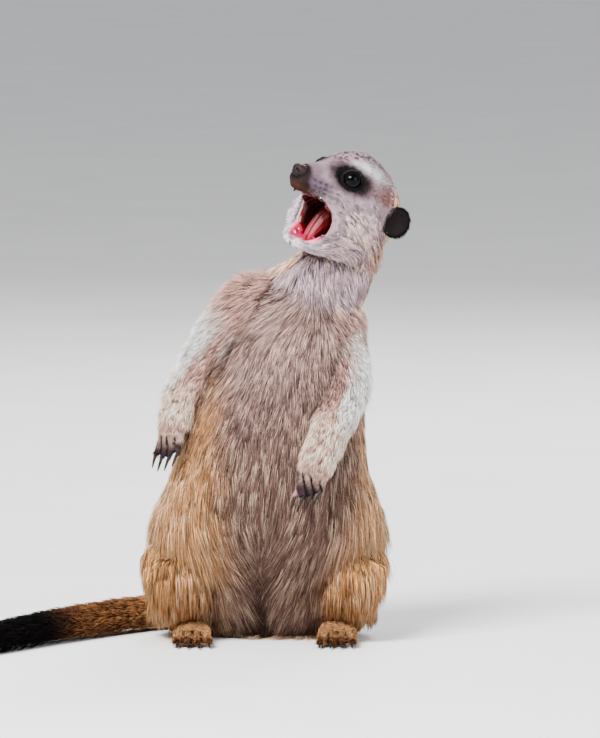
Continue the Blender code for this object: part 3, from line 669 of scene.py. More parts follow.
def lay_of(at):
    """The way the hair runs at each place, before it is laid on the skin."""
    h, (x, _, z) = at.head, at.spots.T
    # head: back from the nose, over the crown and down the cheeks
    back = unit(h - np.array((40, 0, -4)))
    back[:, 2] -= 0.6 * ramp(-h[:, 0], -12, 22) * ramp(-h[:, 2], -8, 6) + 0.15
    jaw = unit(h - np.array((26, 0, -44)))
    jaw[:, 2] += 0.1
    over = mix(back, jaw, ramp(-h[:, 2], 19, 27) * ramp(h[:, 0], -14, 2))
    over = mix(over, (0.45, -0.85, -0.25), np.clip(1.3 * fringe_share(h), 0, 1))
    out = np.sign(h[:, 1:2]) * (0, 0.85, 0) + (-0.3, 0, 0.25)
    over = mix(over, out, np.clip(1.5 * over_ear_share(h), 0, 1)) @ HEAD_AXES
    # trunk: out of the whorl, down, and together again at the groin
    from_whorl = at.spots - WHORL
    front = ramp(-at.normals[:, 1], -0.15, 0.45)
    spread = 2.2 * front * bell(np.linalg.norm(from_whorl[:, [0, 2]], axis=1), 0, 46)
    down = np.tile((0.0, 0.0, -1.0), (len(x), 1))
    gather = front * bell(z, 52, 34) * bell(x, GROIN, 36)
    down[:, 0] += (x - 10) * 0.0065 * ramp(z, 55, 100) - 1.5 * gather * np.tanh((x - GROIN) / 14)
    down[:, 1] -= 0.7 * front * bell(z, 60, 14) * ramp(np.abs(x - 3), 26, 36)
    trunk = unit(down + unit(from_whorl) * spread[:, None])
    parts = [(over, at.share("head", "ear")), ((0.12, 0, -1), at.share("neck")), (trunk, at.share(*TRUNK))]
    for mark, side in SIDES.items():
        here = (x > LEG_MIDDLE) == (side > 0)
        way, t = along(at.spots, ARMS[mark])
        way = way + np.array((0.35 * side, 0, 0)) * (1 - ramp(t, 0.2, 0.6))[:, None]
        by_arm = (gap(at.spots, ARMS[mark][2]) < 75) & (here if side > 0 else here | (x < 8))
        parts.append((way, at.share(*ARM, "hand") * by_arm))
        parts.append((unit(np.array((0.1 * side, -0.1, -1.0))), at.share(*THIGH) * here))
        parts.append((along(at.spots, leg_side(FOOT, side))[0], at.share("foot") * here))
    parts.append((along(at.spots, TAIL)[0], at.share("tail")))
    return unit(blended(parts))


# ---------------------------------------------------------------- markings
def head_colours(at):
    """The face's markings, from places in the head's frame."""
    h, (x, y, z) = at.head, at.head.T
    wide = np.abs(y)
    cloud, specks = noise(at.spots, 5, 4), ramp(noise(at.spots, 1.1, 3), 0.43, 0.56)
    crown = ramp(z - 0.3 * wide + 1.5 * cloud, 10.5, 14.5) * ramp(-x, -20, -10)
    brow = bell(z - 0.12 * x, 14.5, 3.6) * ramp(x, -13, -3) * ramp(wide, 6, 11)
    temple = bell(x, -10, 8) * bell(z, 6.5 + 0.05 * x, 4.8) * ramp(wide, 12, 18)
    front = ramp(x + 2.8 * ramp(-z, 4, 8), 27.5, 31) * (1 - ramp(-z, 18, 22))
    whisker_rows = [(27 - 3.0 * k - 1.2 * row, -2.4 - 2.5 * row + 0.2 * k) for row in range(3) for k in range(5)]
    rim = (1 - ramp(mouth_value(h), 1.2, 1.7)) * (1 - ramp(behind_lips(h), 2, 6)) * (1 - ramp(z, -14, -10))
    rim = np.maximum(rim * ramp(-z, 29, 33), fringe_share(h))
    patch = eye_patch_gap(h) + (noise(at.spots, 1.3, 3) - 0.5) * 1.6
    return paint(
        linear((202, 186, 193)),
        # crown: speckled pinkish brown, with a white brow between it and the eye's patch
        ((190, 166, 176), crown * (0.4 + 0.6 * cloud)),
        ((50, 35, 42), 0.92 * crown * specks),
        ((248, 240, 246), 0.85 * brow),
        ((206, 176, 152), ramp(-x, 15, 25) * ramp(z, -60, -50) * 0.85),
        # a russet streak runs from the eye's rear to the ear, over greyer cheeks
        ((162, 116, 96), np.clip(temple * (0.5 + 0.7 * cloud), 0, 0.65)),
        ((198, 178, 184), 0.7 * ramp(-z, 4, 14) * ramp(-x, -14, 6)),
        ((178, 138, 112), 0.6 * bell(z, -20, 9) * bell(x, -25, 9)),
        ((206, 176, 158), 0.7 * over_ear_share(h)),
        (THROAT, ramp(-z, 26, 36) * ramp(-x, -14, -4)),
        # muzzle: greyish bridge and sides with whisker spots, nearly black round the nose and brown at the front lip
        ((150, 132, 142), 0.8 * ramp(x, 18, 26) * ramp(z, -4, 0.5)),
        ((136, 120, 134), 0.85 * ramp(x, 14, 20) * ramp(-z, -1.5, 2) * (1 - ramp(-z, 14, 20))),
        ((58, 44, 48), 0.95 * dots(x, z, whisker_rows, 0.5) * ramp(wide, 4, 7)),
        ((68, 50, 46), 0.92 * front),
        ((112, 84, 66), 0.8 * ramp(x, 21, 26) * bell(z, -9.5, 1.8)),
        # white fur round the opened mouth, and the eye's dark patch
        ((232, 224, 230), 0.85 * rim),
        ((92, 68, 74), 0.75 * (1 - ramp(patch, 7.4, 11.2))),
        ((24, 16, 19), 1 - ramp(patch, 5.6, 8.8)),
    )


def body_colours(at):
    """The coat's colour at each place."""
    x, y, z = at.spots.T
    patchy = noise(at.spots, 14, 1)
    front, rear = ramp(-at.normals[:, 1], -0.1, 0.65), at.normals[:, 1]
    # belly and chest: greyish mauve in the middle, redder below, golden at the flanks, barred over the back
    belly = paint(
        linear(MAUVE),
        (LOW_MAUVE, ramp(-z, -182, -88)),
        (WARM_MAUVE, 0.4 * patchy),
        (GOLDEN, 0.85 * ramp(np.abs(x - 3 - 0.11 * z), 24 + 0.02 * z, 47) * ramp(-z, -195, -120)),
        # the dark reddish brown between the thighs is partly the fur's colour, partly painted shade
        (GROIN_BROWN_AND_SHADE, 0.92 * bell(x, GROIN, 11) * ramp(-z, -62, -42) * front),
        (WHORL_GREY, 0.6 * bell(np.linalg.norm((at.spots - WHORL)[:, [0, 2]], axis=1), 0, 13)),
    )
    bars = ramp(np.sin(2 * math.pi * (z + 0.12 * y) / BAR_SPACING), 0.1, 0.7)
    bars = bars * ramp(-front, -0.35, -0.02) * ramp(z, 20, 45) * ramp(-z, -175, -140)
    back = paint(linear(BACK), (BAR, 0.88 * bars))
    # the legs are painted darker towards the ground: painted shade
    legs = paint(linear(GOLDEN), (LEG_BROWN, patchy)) * (0.72 + 0.28 * ramp(z, 18, 58))[:, None]
    inner = front * (1 - ramp(np.abs(x - LEG_MIDDLE), 26, 40))
    legs = paint(legs, (LOW_MAUVE, 0.8 * inner), (BACK, 0.6 * ramp(rear, 0, 0.7)))
    parts = [
        (mix(back, belly, front), at.share(*TRUNK)),
        (paint(linear(TAN), (THROAT, front)), at.share("neck")),
        (legs, at.share(*THIGH)),
    ]
    arms = at.share(*ARM)
    for mark, side in SIDES.items():
        t = along(at.spots, ARMS[mark])[1]
        arm = arms * (np.sign(x - 10) == side)
        # the arm's outer side is painted paler, partly its pale fur and partly a painted highlight; the inner side
        # stays greyer, partly painted shade
        outer = ramp(at.normals[:, 0] * side + 0.3 * (patchy - 0.5), 0.0, 0.75)
        outer = outer * ramp(arm, 0.3, 0.9) * ramp(t, 0.02, 0.3)
        gold = np.clip(ramp(rear, 0.0, 0.6) + 0.35 * outer * ramp(t, 0.45, 0.6), 0, 1)
        pale = (FOREARM, ramp(t, 0.5, 0.7) * (1 - 0.4 * outer))
        parts.append((paint(linear(ARM_GREY_AND_SHADED), (ARM_PALE_AND_LIT, outer), pale, (ARM_GOLD, 0.75 * gold)), arm))
    reach, t = digit_field(at.spots)[1], along(at.spots, TAIL)[1]
    tail = paint(linear(TAIL_TAN), (TAIL_BROWN, ramp(t, 0.2, 0.5)), (TAIL_BLACK, ramp(t, 0.5, 0.7)))
    parts += [
        (paint(linear(PAW), (DIGIT, ramp(reach, -0.35, 0.75))), at.share("hand")),
        (paint(linear(FOOT_BROWN), (TOE, ramp(reach, -0.2, 1.0))), at.share("foot")),
        (tail, at.share("tail")),
        (head_colours(at), at.share("head")),
        (paint(linear(EAR_BACK), (EAR_BLACK, ramp(ear_place(at.head)[1], -2.6, -1.4))), at.share("ear")),
    ]
    # shade where the arms and legs lie against the trunk
    trunk = at.share(*TRUNK)
    fold = 4 * trunk * (arms + at.share("hand")) * (1 - 0.7 * ramp(z, 160, 178)) + 0.6 * trunk * at.share("thigh")
    return blended(parts) * (1 - 0.6 * np.clip(fold, 0, 1))[:, None]


def skin_colours(at):
    """The coat's markings, darker between the hairs, partly a darker under-fur colour and partly painted shade, and
    the bare skin of face, mouth and feet.
    """
    # under the fur the markings are halved: partly the under-fur's colour, partly painted shade between the hairs
    colour = body_colours(at) * 0.5
    wet = np.zeros(len(colour))
    on_head = at.share("head") > 0.2
    h = at.head[on_head]
    value, depth, height = mouth_value(h), behind_lips(h), h[:, 2]
    inside = (1 - ramp(value, 1.0, 1.12)) * ramp(depth, -2.2, -1.2)
    # deeper in the mouth, on its left side wall and under the roof the flesh is painted darker red: partly the redder
    # flesh inside, partly painted shade in the hollow
    near = np.maximum(ramp(h[:, 1], 2, 8) * (1 - ramp(-height, 28, 32)), ramp(height, -19, -14))
    deep = depth - 8 * ramp(-height, 25, 30)
    flesh = paint(
        linear(GUM),
        (TONGUE_PINK, ramp(depth, 0.5, 2.5)),
        (MOUTH_RED_AND_SHADE, np.maximum(ramp(deep, -0.6, 1.4), 0.9 * near)),
        (DEEP_RED_AND_SHADE, ramp(deep, 1.6, 6)),
        (PALATE_IN_SHADE, 0.8 * ramp(height, -15, -11)),
    )
    pale = (1 - ramp(value, 1.2, 1.8)) * (1 - ramp(depth, -4, -3)) * ramp(-height, 10, 14) * (1 - near)
    lip = (1 - ramp(value, 1.2, 1.5)) * ramp(depth, -3.4, -2.4) * (1 - ramp(depth, -2, -1))
    face = paint(colour[on_head], ((236, 226, 230), 0.9 * pale), (LIP, 0.85 * lip))
    face = mix(face, flesh, inside)
    for side in SIDES.values():
        _, up, out, ring = from_eye(h, side)
        rim = bell(ring, 1.08, 0.07) * ramp(-up, -0.5, 3)
        near = out > -3
        face = paint(face, ((18, 12, 11), (1 - ramp(ring, 1.3, 1.55)) * near), ((84, 72, 74), 0.6 * rim * near))
    face = paint(face, ((40, 28, 26), 1 - ramp(nose_gap(h), 1.2, 1.5)))
    colour[on_head], wet[on_head] = face, inside
    digits = at.share("hand", "foot")
    pad = bell(gap(at.spots, THUMB_PAD), 0, 3) * digits
    ring, ahead, _ = ear_place(at.head)
    hollow = at.share("ear") * (1 - ramp(ring, 0.7, 0.85)) * ramp(ahead, -2, -1)
    bare = (
        ((26, 19, 18), digits * digit_field(at.spots)[0]),
        ((56, 50, 52), ramp(pad, 0.3, 0.6)),
        ((34, 25, 25), hollow),
        ((158, 128, 126), ramp(nipple_share(at, 2), 0.2, 0.6)),
    )
    return paint(colour, *bare), wet


# ---------------------------------------------------------------- fur
PIECE_TRIANGLES = 185000
BALD = 0.5
BENT_FROM = 4.4  # shorter tufts are straight
ROOT_DEPTH, LEAST_TUFT_HEIGHT = 0.35, 0.3
LEADERS = 0.1  # the share of tufts that draw their neighbours into a lock
PALE_BELOW, DARK_ABOVE = 0.22, 0.87  # of the tufts' kinds, spread from 0 to 1
THREE = np.radians((90, 210, 330))
PATCH = 0.003 * np.array([(0, -0.5), (-0.5, -0.2), (0.5, -0.2), (0, 0), (0, 0.5)])  # a tuft on the unwrap
SPIKE_FACES = np.array([(0, 2, 1), (0, 1, 3), (1, 2, 3), (2, 0, 3)])
BENT_FACES = np.array([(0, 2, 1), (0, 3, 2), (0, 1, 3), (1, 2, 4), (2, 3, 4), (3, 1, 4)])


def head_length(h):
    """The length of the head's hair: shortest on the muzzle, longest at the cheeks and throat."""
    x, y, z = h.T
    length = 1.4 + 2.0 * ramp(-x, -24, -4) + 1.2 * ramp(-x, 4, 26)
    length += 5.2 * ramp(-x, -12, 8) * ramp(-z, 2, 16) + 2.0 * ramp(-z, 28, 38)
    length = length * (0.45 + 0.55 * ramp(np.hypot(x - EYE_AT[0], z - EYE_AT[2]), 6, 13))
    lip = bell(behind_lips(h), -1.5, 3.5) * ramp(y, 8, 12) * ramp(-z, 10, 14) * ramp(z, -36, -30)
    return length * (1 - 0.55 * lip) + 7 * over_ear_share(h) + 2.4 * fringe_share(h)


def bald_share(at):
    """1 where nothing grows: eyes, nose, the mouth's inside, the ears' hollows, grooves between digits, and soles."""
    near = at.share("head") > 0.3
    h = at.head[near]
    here = (1 - ramp(mouth_value(h, 0.6), 0.98, 1.2)) * ramp(behind_lips(h), -2.4, -1.2)
    for side in SIDES.values():
        _, _, out, ring = from_eye(h, side)
        here = np.maximum(here, (ring < 1.28) & (out > -4))
    face = np.zeros(len(near))
    face[near] = np.maximum(here, nose_gap(h) < 1.12)
    ring, ahead, _ = ear_place(at.head)
    bare = (
        face,
        (at.share("ear") > 0.4) & (ring < 0.74) & (ahead > -1.2),
        digit_field(at.spots)[0] * at.share("hand", "foot"),
        ramp(nipple_share(at, 1.9), 0.25, 0.4),
        gap(at.spots, THUMB_PAD) < 2.6,
        (at.spots[:, 2] < 2.5) & (at.normals[:, 2] < -0.5),
    )
    return np.max(bare, axis=0)


def hair_fields(at):
    """How dense, long, raised, thick and clumped the hair is at each place, and where it is bald."""
    density, length, lift, radius, clumping, _ = (at.shares @ np.array([row[1:] for row in REGIONS.values()])).T
    (x, y, z), (forward, _, up) = at.spots.T, at.head.T
    on_head = at.share("head")
    face = on_head * ramp(forward, 4, 22)
    cheek = on_head * ramp(-forward, -10, 2) * ramp(-up, 2, 10)
    crown = on_head * ramp(up, 11, 17) * ramp(-forward, -18, -8)
    length = length * (1 - on_head) + head_length(at.head) * on_head
    # the flanks' hair is longest over the thighs, and short where the left hand lies on it
    flank = at.share("belly") * bell(z, 68, 28) * ramp(np.abs(x - 3), 30, 46)
    length = length * (1 + 0.55 * flank) * (0.45 + 0.55 * ramp(gap(at.spots, CLAWS_OVER_BELLY), 5, 15))
    # hair stands up to fill the hollow between the right shoulder and the neck
    hollow = bell(gap(at.spots, SHOULDER_HOLLOW), 0, 15) * ramp(-y, -14, -4)
    lift = lift * (1 + 1.2 * flank) * (1 + 1.6 * on_head * fringe_share(at.head)) * (1 + 2.0 * hollow)
    # a hand's hair is long at the wrist and short on the fingers
    wrist = at.share("hand") * ramp(-digit_field(at.spots)[1], -0.1, 0.9)
    return {
        "density": density * (1 + 0.8 * face),
        "length": (length * (1 + 0.5 * hollow) + 2.8 * wrist) * (1 - 0.3 * crown),
        "lift": lift,
        "radius": radius * (1 - 0.3 * face + 0.25 * cheek + 0.35 * crown),
        "clumping": clumping,
        "bald": bald_share(at),
    }


def plant(at, faces, lays, fields):
    """Roots over the whole skin, as many to the area as the coat is dense there."""
    corners = at.spots[faces]
    area = np.linalg.norm(np.cross(corners[:, 1] - corners[:, 0], corners[:, 2] - corners[:, 0]), axis=1) / 2
    hairy = fields["density"][faces].mean(axis=1) * (fields["bald"][faces].max(axis=1) < BALD)
    count = np.floor(area * hairy + RNG.random(len(faces))).astype(int)
    face = np.repeat(np.arange(len(faces)), count)
    a, b = RNG.random((2, len(face)))
    flip = a + b > 1
    a[flip], b[flip] = 1 - a[flip], 1 - b[flip]
    weight = np.stack([1 - a - b, a, b], axis=1)[:, :, None]

    def here(values):
        return (values.reshape(len(values), -1)[faces[face]] * weight).sum(axis=1)

    roots = Places(here(at.spots), unit(here(at.normals)), here(at.shares))
    roots.lay = laid_on(here(lays), roots.normals)
    roots.field = {key: here(values)[:, 0] for key, values in fields.items()}
    return roots


def strands(at):
    """Middle and tip of each tuft, drawn together into locks, and which lock it belongs to."""
    count = len(at.spots)
    long_coat = at.share(*TRUNK, *THIGH)
    turn = RNG.normal(0, 0.10, count) + (noise(at.spots, 5, 7) - 0.5) * (0.6 - 0.4 * long_coat)
    turn += (noise(at.spots, 15, 8) - 0.5) * 0.6 * long_coat
    lay = unit(at.lay + np.cross(at.normals, at.lay) * turn[:, None])
    lift = np.radians(at.field["lift"] * RNG.uniform(0.5, 1.5, count))[:, None]
    half = (at.field["length"] * RNG.uniform(0.65, 1.2, count))[:, None] * 0.5
    # the long hair of the legs and flanks hangs down, and the cheeks' hair curves down
    fall = 0.8 * at.share(*THIGH) + 0.35 * at.share("belly") + 0.25 * at.share("head")
    first = lay * np.cos(lift) + at.normals * np.sin(lift)
    second = lay * np.cos(lift * 0.3) + at.normals * np.sin(lift * 0.3)
    middle = at.spots + unit(mix(first, (0, 0, -1.0), 0.35 * fall)) * half
    tip = middle + unit(mix(second, (0, -0.05, -1.0), fall)) * half
    leaders = np.flatnonzero(RNG.random(count) < LEADERS)
    tree = KDTree(len(leaders))
    for number, spot in enumerate((at.spots + lay)[leaders].tolist()):
        tree.insert(spot, number)
    tree.balance()
    lock = leaders[[tree.find(spot)[1] for spot in (at.spots + lay).tolist()]]
    together = at.field["clumping"] * np.clip(1.5 - np.linalg.norm(tip - tip[lock], axis=1) / 8, 0, 1)
    return mix(middle, middle[lock], together * 0.45), mix(tip, tip[lock], together), lock


def strand_colours(at, lock):
    """Colours at each tuft's root, middle and tip: grizzled, with pale, plain and dark locks and hairs mixed, and
    darker roots that are partly painted shade deep in the coat.
    """
    count = len(at.spots)
    base = body_colours(at)
    (x, _, z), on_head = at.head.T, at.share("head")
    fringe = on_head * fringe_share(at.head)
    trunk, leg = np.clip(at.share(*TRUNK, *THIGH, "neck"), 0, 1), at.share(*THIGH)
    crown = on_head * ramp(z, 9, 14) * ramp(-x, -20, -10)
    cheek = on_head * ramp(-z, 0, 8) * ramp(-x, -16, -4)
    tone = RNG.normal(1.0, 0.12, count) * (1 + RNG.normal(0, 1, count)[lock] * (0.24 + 0.05 * on_head))
    tone = 1 + (tone - 1) * (1 - np.clip(1.6 * fringe, 0, 0.85))
    base = base * np.clip(tone, 0.4, 1.7)[:, None]
    plain = (base.mean(axis=1) > 0.05) & (fringe < 0.3)
    together = RNG.random(count) < 0.55 * (1 - crown)
    kind = np.where(together, RNG.random(count)[lock], RNG.random(count))
    pale = (kind < PALE_BELOW + 0.1 * crown + 0.08 * cheek) & plain
    dark = (kind > DARK_ABOVE - 0.28 * crown - 0.14 * cheek - 0.05 * trunk - 0.07 * leg) & plain
    lighter = mix(base * 1.35, linear((244, 226, 206)), 0.34 * trunk + 0.5 * np.clip(crown + cheek, 0, 1))
    base = np.where(pale[:, None], lighter, base)
    base = np.where(dark[:, None], base * 0.34, base)
    band = crown * (RNG.random(count) < 0.5)
    tip = mix(base * 1.15, linear((240, 234, 234)), 0.35 * band)
    # roots are painted darker, most in the trunk's long coat: partly the hairs' darker bases, partly painted shade
    # deep in the coat
    return base * (0.6 - 0.32 * trunk)[:, None], mix(base, base * 0.55, band), tip


def unwrap(spots, bone):
    """Round the bone and along it, from 0 to 1: the skin's own shape rolled flat."""
    way, share = along(spots, bone)
    line = smooth_rows(bone, 4)
    place = share * (len(line) - 1)
    centre = np.stack([np.interp(place, np.arange(len(line)), line[:, k]) for k in range(3)], axis=1)
    side = unit(np.cross(way, np.where(np.abs(way[:, 2:]) > 0.7, (0, 1.0, 0), (0, 0, 1.0))))
    up = np.cross(side, way)
    offset = spots - centre
    turn = np.arctan2((offset * side).sum(axis=1), (offset * up).sum(axis=1)) / (2 * math.pi) + 0.5
    low, high = share.min(), share.max()
    return np.stack([turn, (share - low) / max(high - low, 1e-6)], axis=1) * 0.98 + 0.01


def tuft_mesh(name, spot, normal, radius, length, middle, tip, near, half, far, flat):
    """One mesh of closed three-sided tufts: the long ones are widest at their bend, the short ones at the root."""
    way = unit(middle - spot)
    side = unit(np.cross(way, normal))
    up = np.cross(side, way)
    ring = np.cos(THREE)[None, :, None] * side[:, None] + 0.7 * np.sin(THREE)[None, :, None] * up[:, None]
    ring = ring * radius[:, None, None]
    root = (spot - normal * ROOT_DEPTH)[:, None]
    tip, near, half, far = (rows[:, None] for rows in (tip, near, half, far))
    three = np.ones((1, 3, 1))
    bent = length > BENT_FROM
    kinds = (
        (bent, (root, middle[:, None] + ring, tip), (near, half * three, far), BENT_FACES),
        (~bent, (root + ring, tip), (near * three, far), SPIKE_FACES),
    )
    parts, count = [], 0
    for chosen, corners, shades, faces in kinds:
        spots, shades = (np.concatenate(rows, axis=1)[chosen] for rows in (corners, shades))
        size = spots.shape[1]
        uv = flat[chosen][:, None] + PATCH[-size:]
        faces = faces + (size * np.arange(len(spots))[:, None, None] + count)
        count += size * len(spots)
        parts.append([rows.reshape(-1, rows.shape[-1]) for rows in (spots, faces, shades, uv)])
    spots, faces, shades, uv = (np.concatenate(rows) for rows in zip(*parts))
    spots[:, 2] = np.maximum(spots[:, 2], LEAST_TUFT_HEIGHT)
    return object_from(name, spots, faces, shades, uv)


def coat_groups(at):
    """The coat's pieces: name, which roots, and the bone that they are unwrapped round."""
    main = np.array(NAMES)[at.shares.argmax(axis=1)]
    left = at.spots[:, 0] > np.where(np.isin(main, (*THIGH, "foot")), LEG_MIDDLE, 8)
    yield "coat_head", np.isin(main, ("head", "ear")), from_head(HEAD_LINE)
    yield "coat_neck", main == "neck", NECK_LINE
    yield "coat_chest", main == "chest", SPINE
    yield "coat_belly", main == "belly", SPINE
    for mark, side in SIDES.items():
        here = left == (side > 0)
        yield "coat_arm_" + mark, np.isin(main, (*ARM, "hand")) & here, ARMS[mark]
        yield "coat_leg_" + mark, np.isin(main, THIGH) & here, leg_side(LEG, side)
        yield "coat_foot_" + mark, (main == "foot") & here, leg_side(FOOT, side)
    yield "coat_tail", main == "tail", TAIL


def make_coat(at, faces, web):
    """The coat's pieces, none of which has too many triangles."""
    lays = laid_on(web.blur(laid_on(lay_of(at), at.normals), 6), at.normals)
    roots = plant(at, faces, lays, hair_fields(at))
    middle, tip, lock = strands(roots)
    length = roots.field["length"]
    rows = (roots.spots, roots.normals, roots.field["radius"], length, middle, tip, *strand_colours(roots, lock))
    for name, chosen, bone in coat_groups(roots):
        index = np.flatnonzero(chosen)
        flat = unwrap(roots.spots[index], bone)
        order = np.argsort(flat[:, 1])
        index, flat = index[order], flat[order]
        weight = np.cumsum(np.where(length[index] > BENT_FROM, len(BENT_FACES), len(SPIKE_FACES)))
        parts = math.ceil(weight[-1] / PIECE_TRIANGLES)
        cuts = np.searchsorted(weight, weight[-1] / parts * np.arange(1, parts))
        for number, (some, uv) in enumerate(zip(np.split(index, cuts), np.split(flat, cuts)), 1):
            label = name if parts == 1 else f"{name}_{number}"
            yield tuft_mesh(label, *(values[some] for values in rows), uv)


# ---------------------------------------------------------------- nodes and materials
def operator(kind, reflected=False):
    """The maths node of that kind, on a value and a number or another value."""

    def apply(value, other):
        pair = (other, value) if reflected else (value, other)
        return value.graph.node("ShaderNodeMath", dict(enumerate(pair)), operation=kind)

    return apply


class Value:
    """A node's socket that adds and multiplies like a number."""

    def __init__(self, graph, socket):
        self.graph, self.socket = graph, socket

    __add__ = __radd__ = operator("ADD")
    __sub__, __rsub__ = operator("SUBTRACT"), operator("SUBTRACT", True)
    __mul__ = __rmul__ = operator("MULTIPLY")
    __pow__ = operator("POWER")


class Graph:
    """A tree of nodes, and what adds nodes to it."""

    def __init__(self, tree):
        self.tree = tree

    def fill(self, socket, value):
        if isinstance(value, Value):
            self.tree.links.new(value.socket, socket)
        elif hasattr(value, "__len__") and len(value) == 3 and socket.type == "RGBA":
            socket.default_value = (*value, 1)
        else:
            socket.default_value = value

    def node(self, kind, inputs=None, out=0, stops=None, **settings):
        made = self.tree.nodes.new(kind)
        for name, value in settings.items():
            setattr(made, name, value)
        if stops:
            ramp_stops = made.color_ramp.elements
            while len(ramp_stops) < len(stops):
                ramp_stops.new(0.5)
            for stop, (place, colour) in zip(ramp_stops, stops):
                stop.position, stop.color = place, (*colour, 1)
        for key, value in (inputs or {}).items():
            self.fill(made.inputs[key], value)
        return Value(self, made.outputs[out]) if len(made.outputs) else made


class Shade(Graph):
    """A material, and the nodes that are added to it."""

    def __init__(self, name, **sockets):
        self.material = bpy.data.materials.new(name)
        self.material.use_nodes = True
        super().__init__(self.material.node_tree)
        self.shader = self.tree.nodes["Principled BSDF"]
        self.set(**sockets)

    def set(self, **sockets):
        """Fills the shader's sockets, named with _ for a space, with numbers, colours or values."""
        for name, value in sockets.items():
            self.fill(self.shader.inputs[name.replace("_", " ")], value)
        return self.material

    def noise(self, scale, detail=2.0):
        place = self.node("ShaderNodeTexCoord", out="Object")
        return self.node("ShaderNodeTexNoise", {"Vector": place, "Scale": scale, "Detail": detail})

    def cells(self, scale, **settings):
        place = self.node("ShaderNodeTexCoord", out="Object")
        return self.node("ShaderNodeTexVoronoi", {"Vector": place, "Scale": scale}, **settings)

    def attribute(self, name, out="Fac"):
        return self.node("ShaderNodeAttribute", out=out, attribute_name=name)

    def bump(self, height, distance):
        return self.node("ShaderNodeBump", {"Height": height, "Distance": distance, "Strength": 1.0})

    def ramp(self, share, *stops):
        return self.node("ShaderNodeValToRGB", {"Fac": share}, stops=stops)

    def marked(self, share, *stops):
        """The markings stored on the piece, shaded by a ramp."""
        inputs = {"Factor": 1.0, 6: self.attribute("coat", "Color"), 7: self.ramp(share, *stops)}
        return self.node("ShaderNodeMix", inputs, out=2, data_type="RGBA", blend_type="MULTIPLY")


def grey(value):
    return (value, value, value)


def coat_material():
    """Fur: the markings stored on each tuft, with fine uneven tone."""
    shade = Shade("fur", Specular_IOR_Level=0.05)
    colour = shade.marked(shade.noise(420), (0.3, grey(0.84)), (0.7, grey(1.0)))
    return shade.set(Base_Color=colour, Roughness=0.55 + shade.noise(900) * 0.2)


def skin_material():
    """Skin: furred skin is dull, and the mouth's inside is wet."""
    shade = Shade("skin", Specular_IOR_Level=0.08, Coat_Roughness=0.12)
    wet = shade.attribute("wet")
    colour = shade.marked(shade.noise(500, 4), (0.3, grey(0.78)), (0.7, grey(1.0)))
    height = shade.noise(1500, 3) * (1 - wet * 0.6)
    shade.set(Base_Color=colour, Roughness=0.72 - wet * 0.36, Coat_Weight=wet * 0.25)
    return shade.set(Normal=shade.bump(height, 0.0003))


def eye_material():
    """A dark brown iris round a black pupil, wet."""
    shade = Shade("wet eye", Roughness=0.1, Specular_IOR_Level=0.09, Specular_Tint=(0.62, 0.82, 1))
    ring = shade.attribute("ring") + (shade.noise(1600) - 0.5) * 0.05
    stops = ((0.0, 0.0004), (0.44, 0.0004), (0.54, 0.0016), (0.72, 0.003), (0.84, 0.0006))
    return shade.set(Base_Color=shade.ramp(ring, *((place, (v, v * 0.62, v * 0.45)) for place, v in stops)))


def nose_material():
    """Moist pebbled leather, dark brown on top and black in the nostrils."""
    shade = Shade("nose leather", Specular_IOR_Level=0.18)
    pebbles = shade.cells(1500, feature="SMOOTH_F1")
    colour = shade.marked(pebbles, (0.0, grey(1.0)), (0.8, grey(0.6)))
    return shade.set(Base_Color=colour, Roughness=0.45 + pebbles * 0.2, Normal=shade.bump(1 - pebbles, 0.00025))


def tongue_material():
    """Wet pink flesh with small papillae."""
    shade = Shade("tongue", Coat_Weight=0.05, Coat_Roughness=0.2, Specular_IOR_Level=0.14)
    bumps = shade.cells(1300)
    colour = shade.marked(bumps, (0.0, (1.0, 0.97, 0.97)), (0.7, (0.93, 0.84, 0.86)))
    return shade.set(Base_Color=colour, Roughness=0.35 + bumps * 0.15, Normal=shade.bump(1 - bumps, 0.00009))


def tooth_material():
    shade = Shade("enamel", Roughness=0.2, Coat_Weight=0.5)
    return shade.set(Base_Color=shade.ramp(shade.noise(900), (0.3, (0.86, 0.8, 0.66)), (0.8, (0.93, 0.9, 0.82))))


def claw_material():
    """Dark horn with fine streaks, paler where it wears."""
    shade = Shade("claw horn", Specular_IOR_Level=0.1)
    streaks = shade.noise(700, 4)
    colour = shade.ramp(streaks, (0.3, (0.004, 0.003, 0.003)), (0.75, (0.03, 0.022, 0.02)))
    return shade.set(Base_Color=colour, Roughness=0.4 + streaks * 0.25, Normal=shade.bump(streaks, 0.0001))


def whisker_material():
    shade = Shade("whisker", Roughness=0.35)
    return shade.set(Base_Color=shade.ramp(shade.noise(150), (0.4, (0.05, 0.04, 0.035)), (0.7, (0.3, 0.26, 0.22))))


def floor_material():
    shade = Shade("floor")
    grain = shade.noise(9, 3)
    return shade.set(Base_Color=shade.ramp(grain, (0.3, grey(0.78)), (0.7, grey(0.82))), Roughness=0.8 + grain * 0.1)


# ---------------------------------------------------------------- pieces
TONGUE_VOXEL, WHISKER_RADIUS = 0.42, 0.07


def keep(piece, slot, material, *nodes):
    """Rides on the body, takes its finish and stands for its CAD nodes."""
    piece.data.materials.clear()
    piece.data.materials.append(material)
    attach(piece, "root")
    if nodes:
        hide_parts(*nodes)


def make_eye(mark, side, material):
    """A wet ball with a slightly bulging front, its iris turned the way the eye looks."""
    centre, across, _, look = eye_frame(side)
    local, faces = round_ball(bmesh.ops.create_uvsphere, u_segments=64, v_segments=40)
    ring = np.hypot(local[:, 0], local[:, 1])
    front = local[:, 2] > 0
    spots = local * (EYE_RADIUS * (1 + 0.05 * bell(ring, 0, 0.6) * front))[:, None]
    h = centre + spots @ np.array((across, np.cross(look, across), look))
    piece = object_from("eyeball_" + mark, from_head(h), faces, extra={"ring": np.where(front, ring, 1)})
    keep(piece, "eye", material, "eye_" + mark)


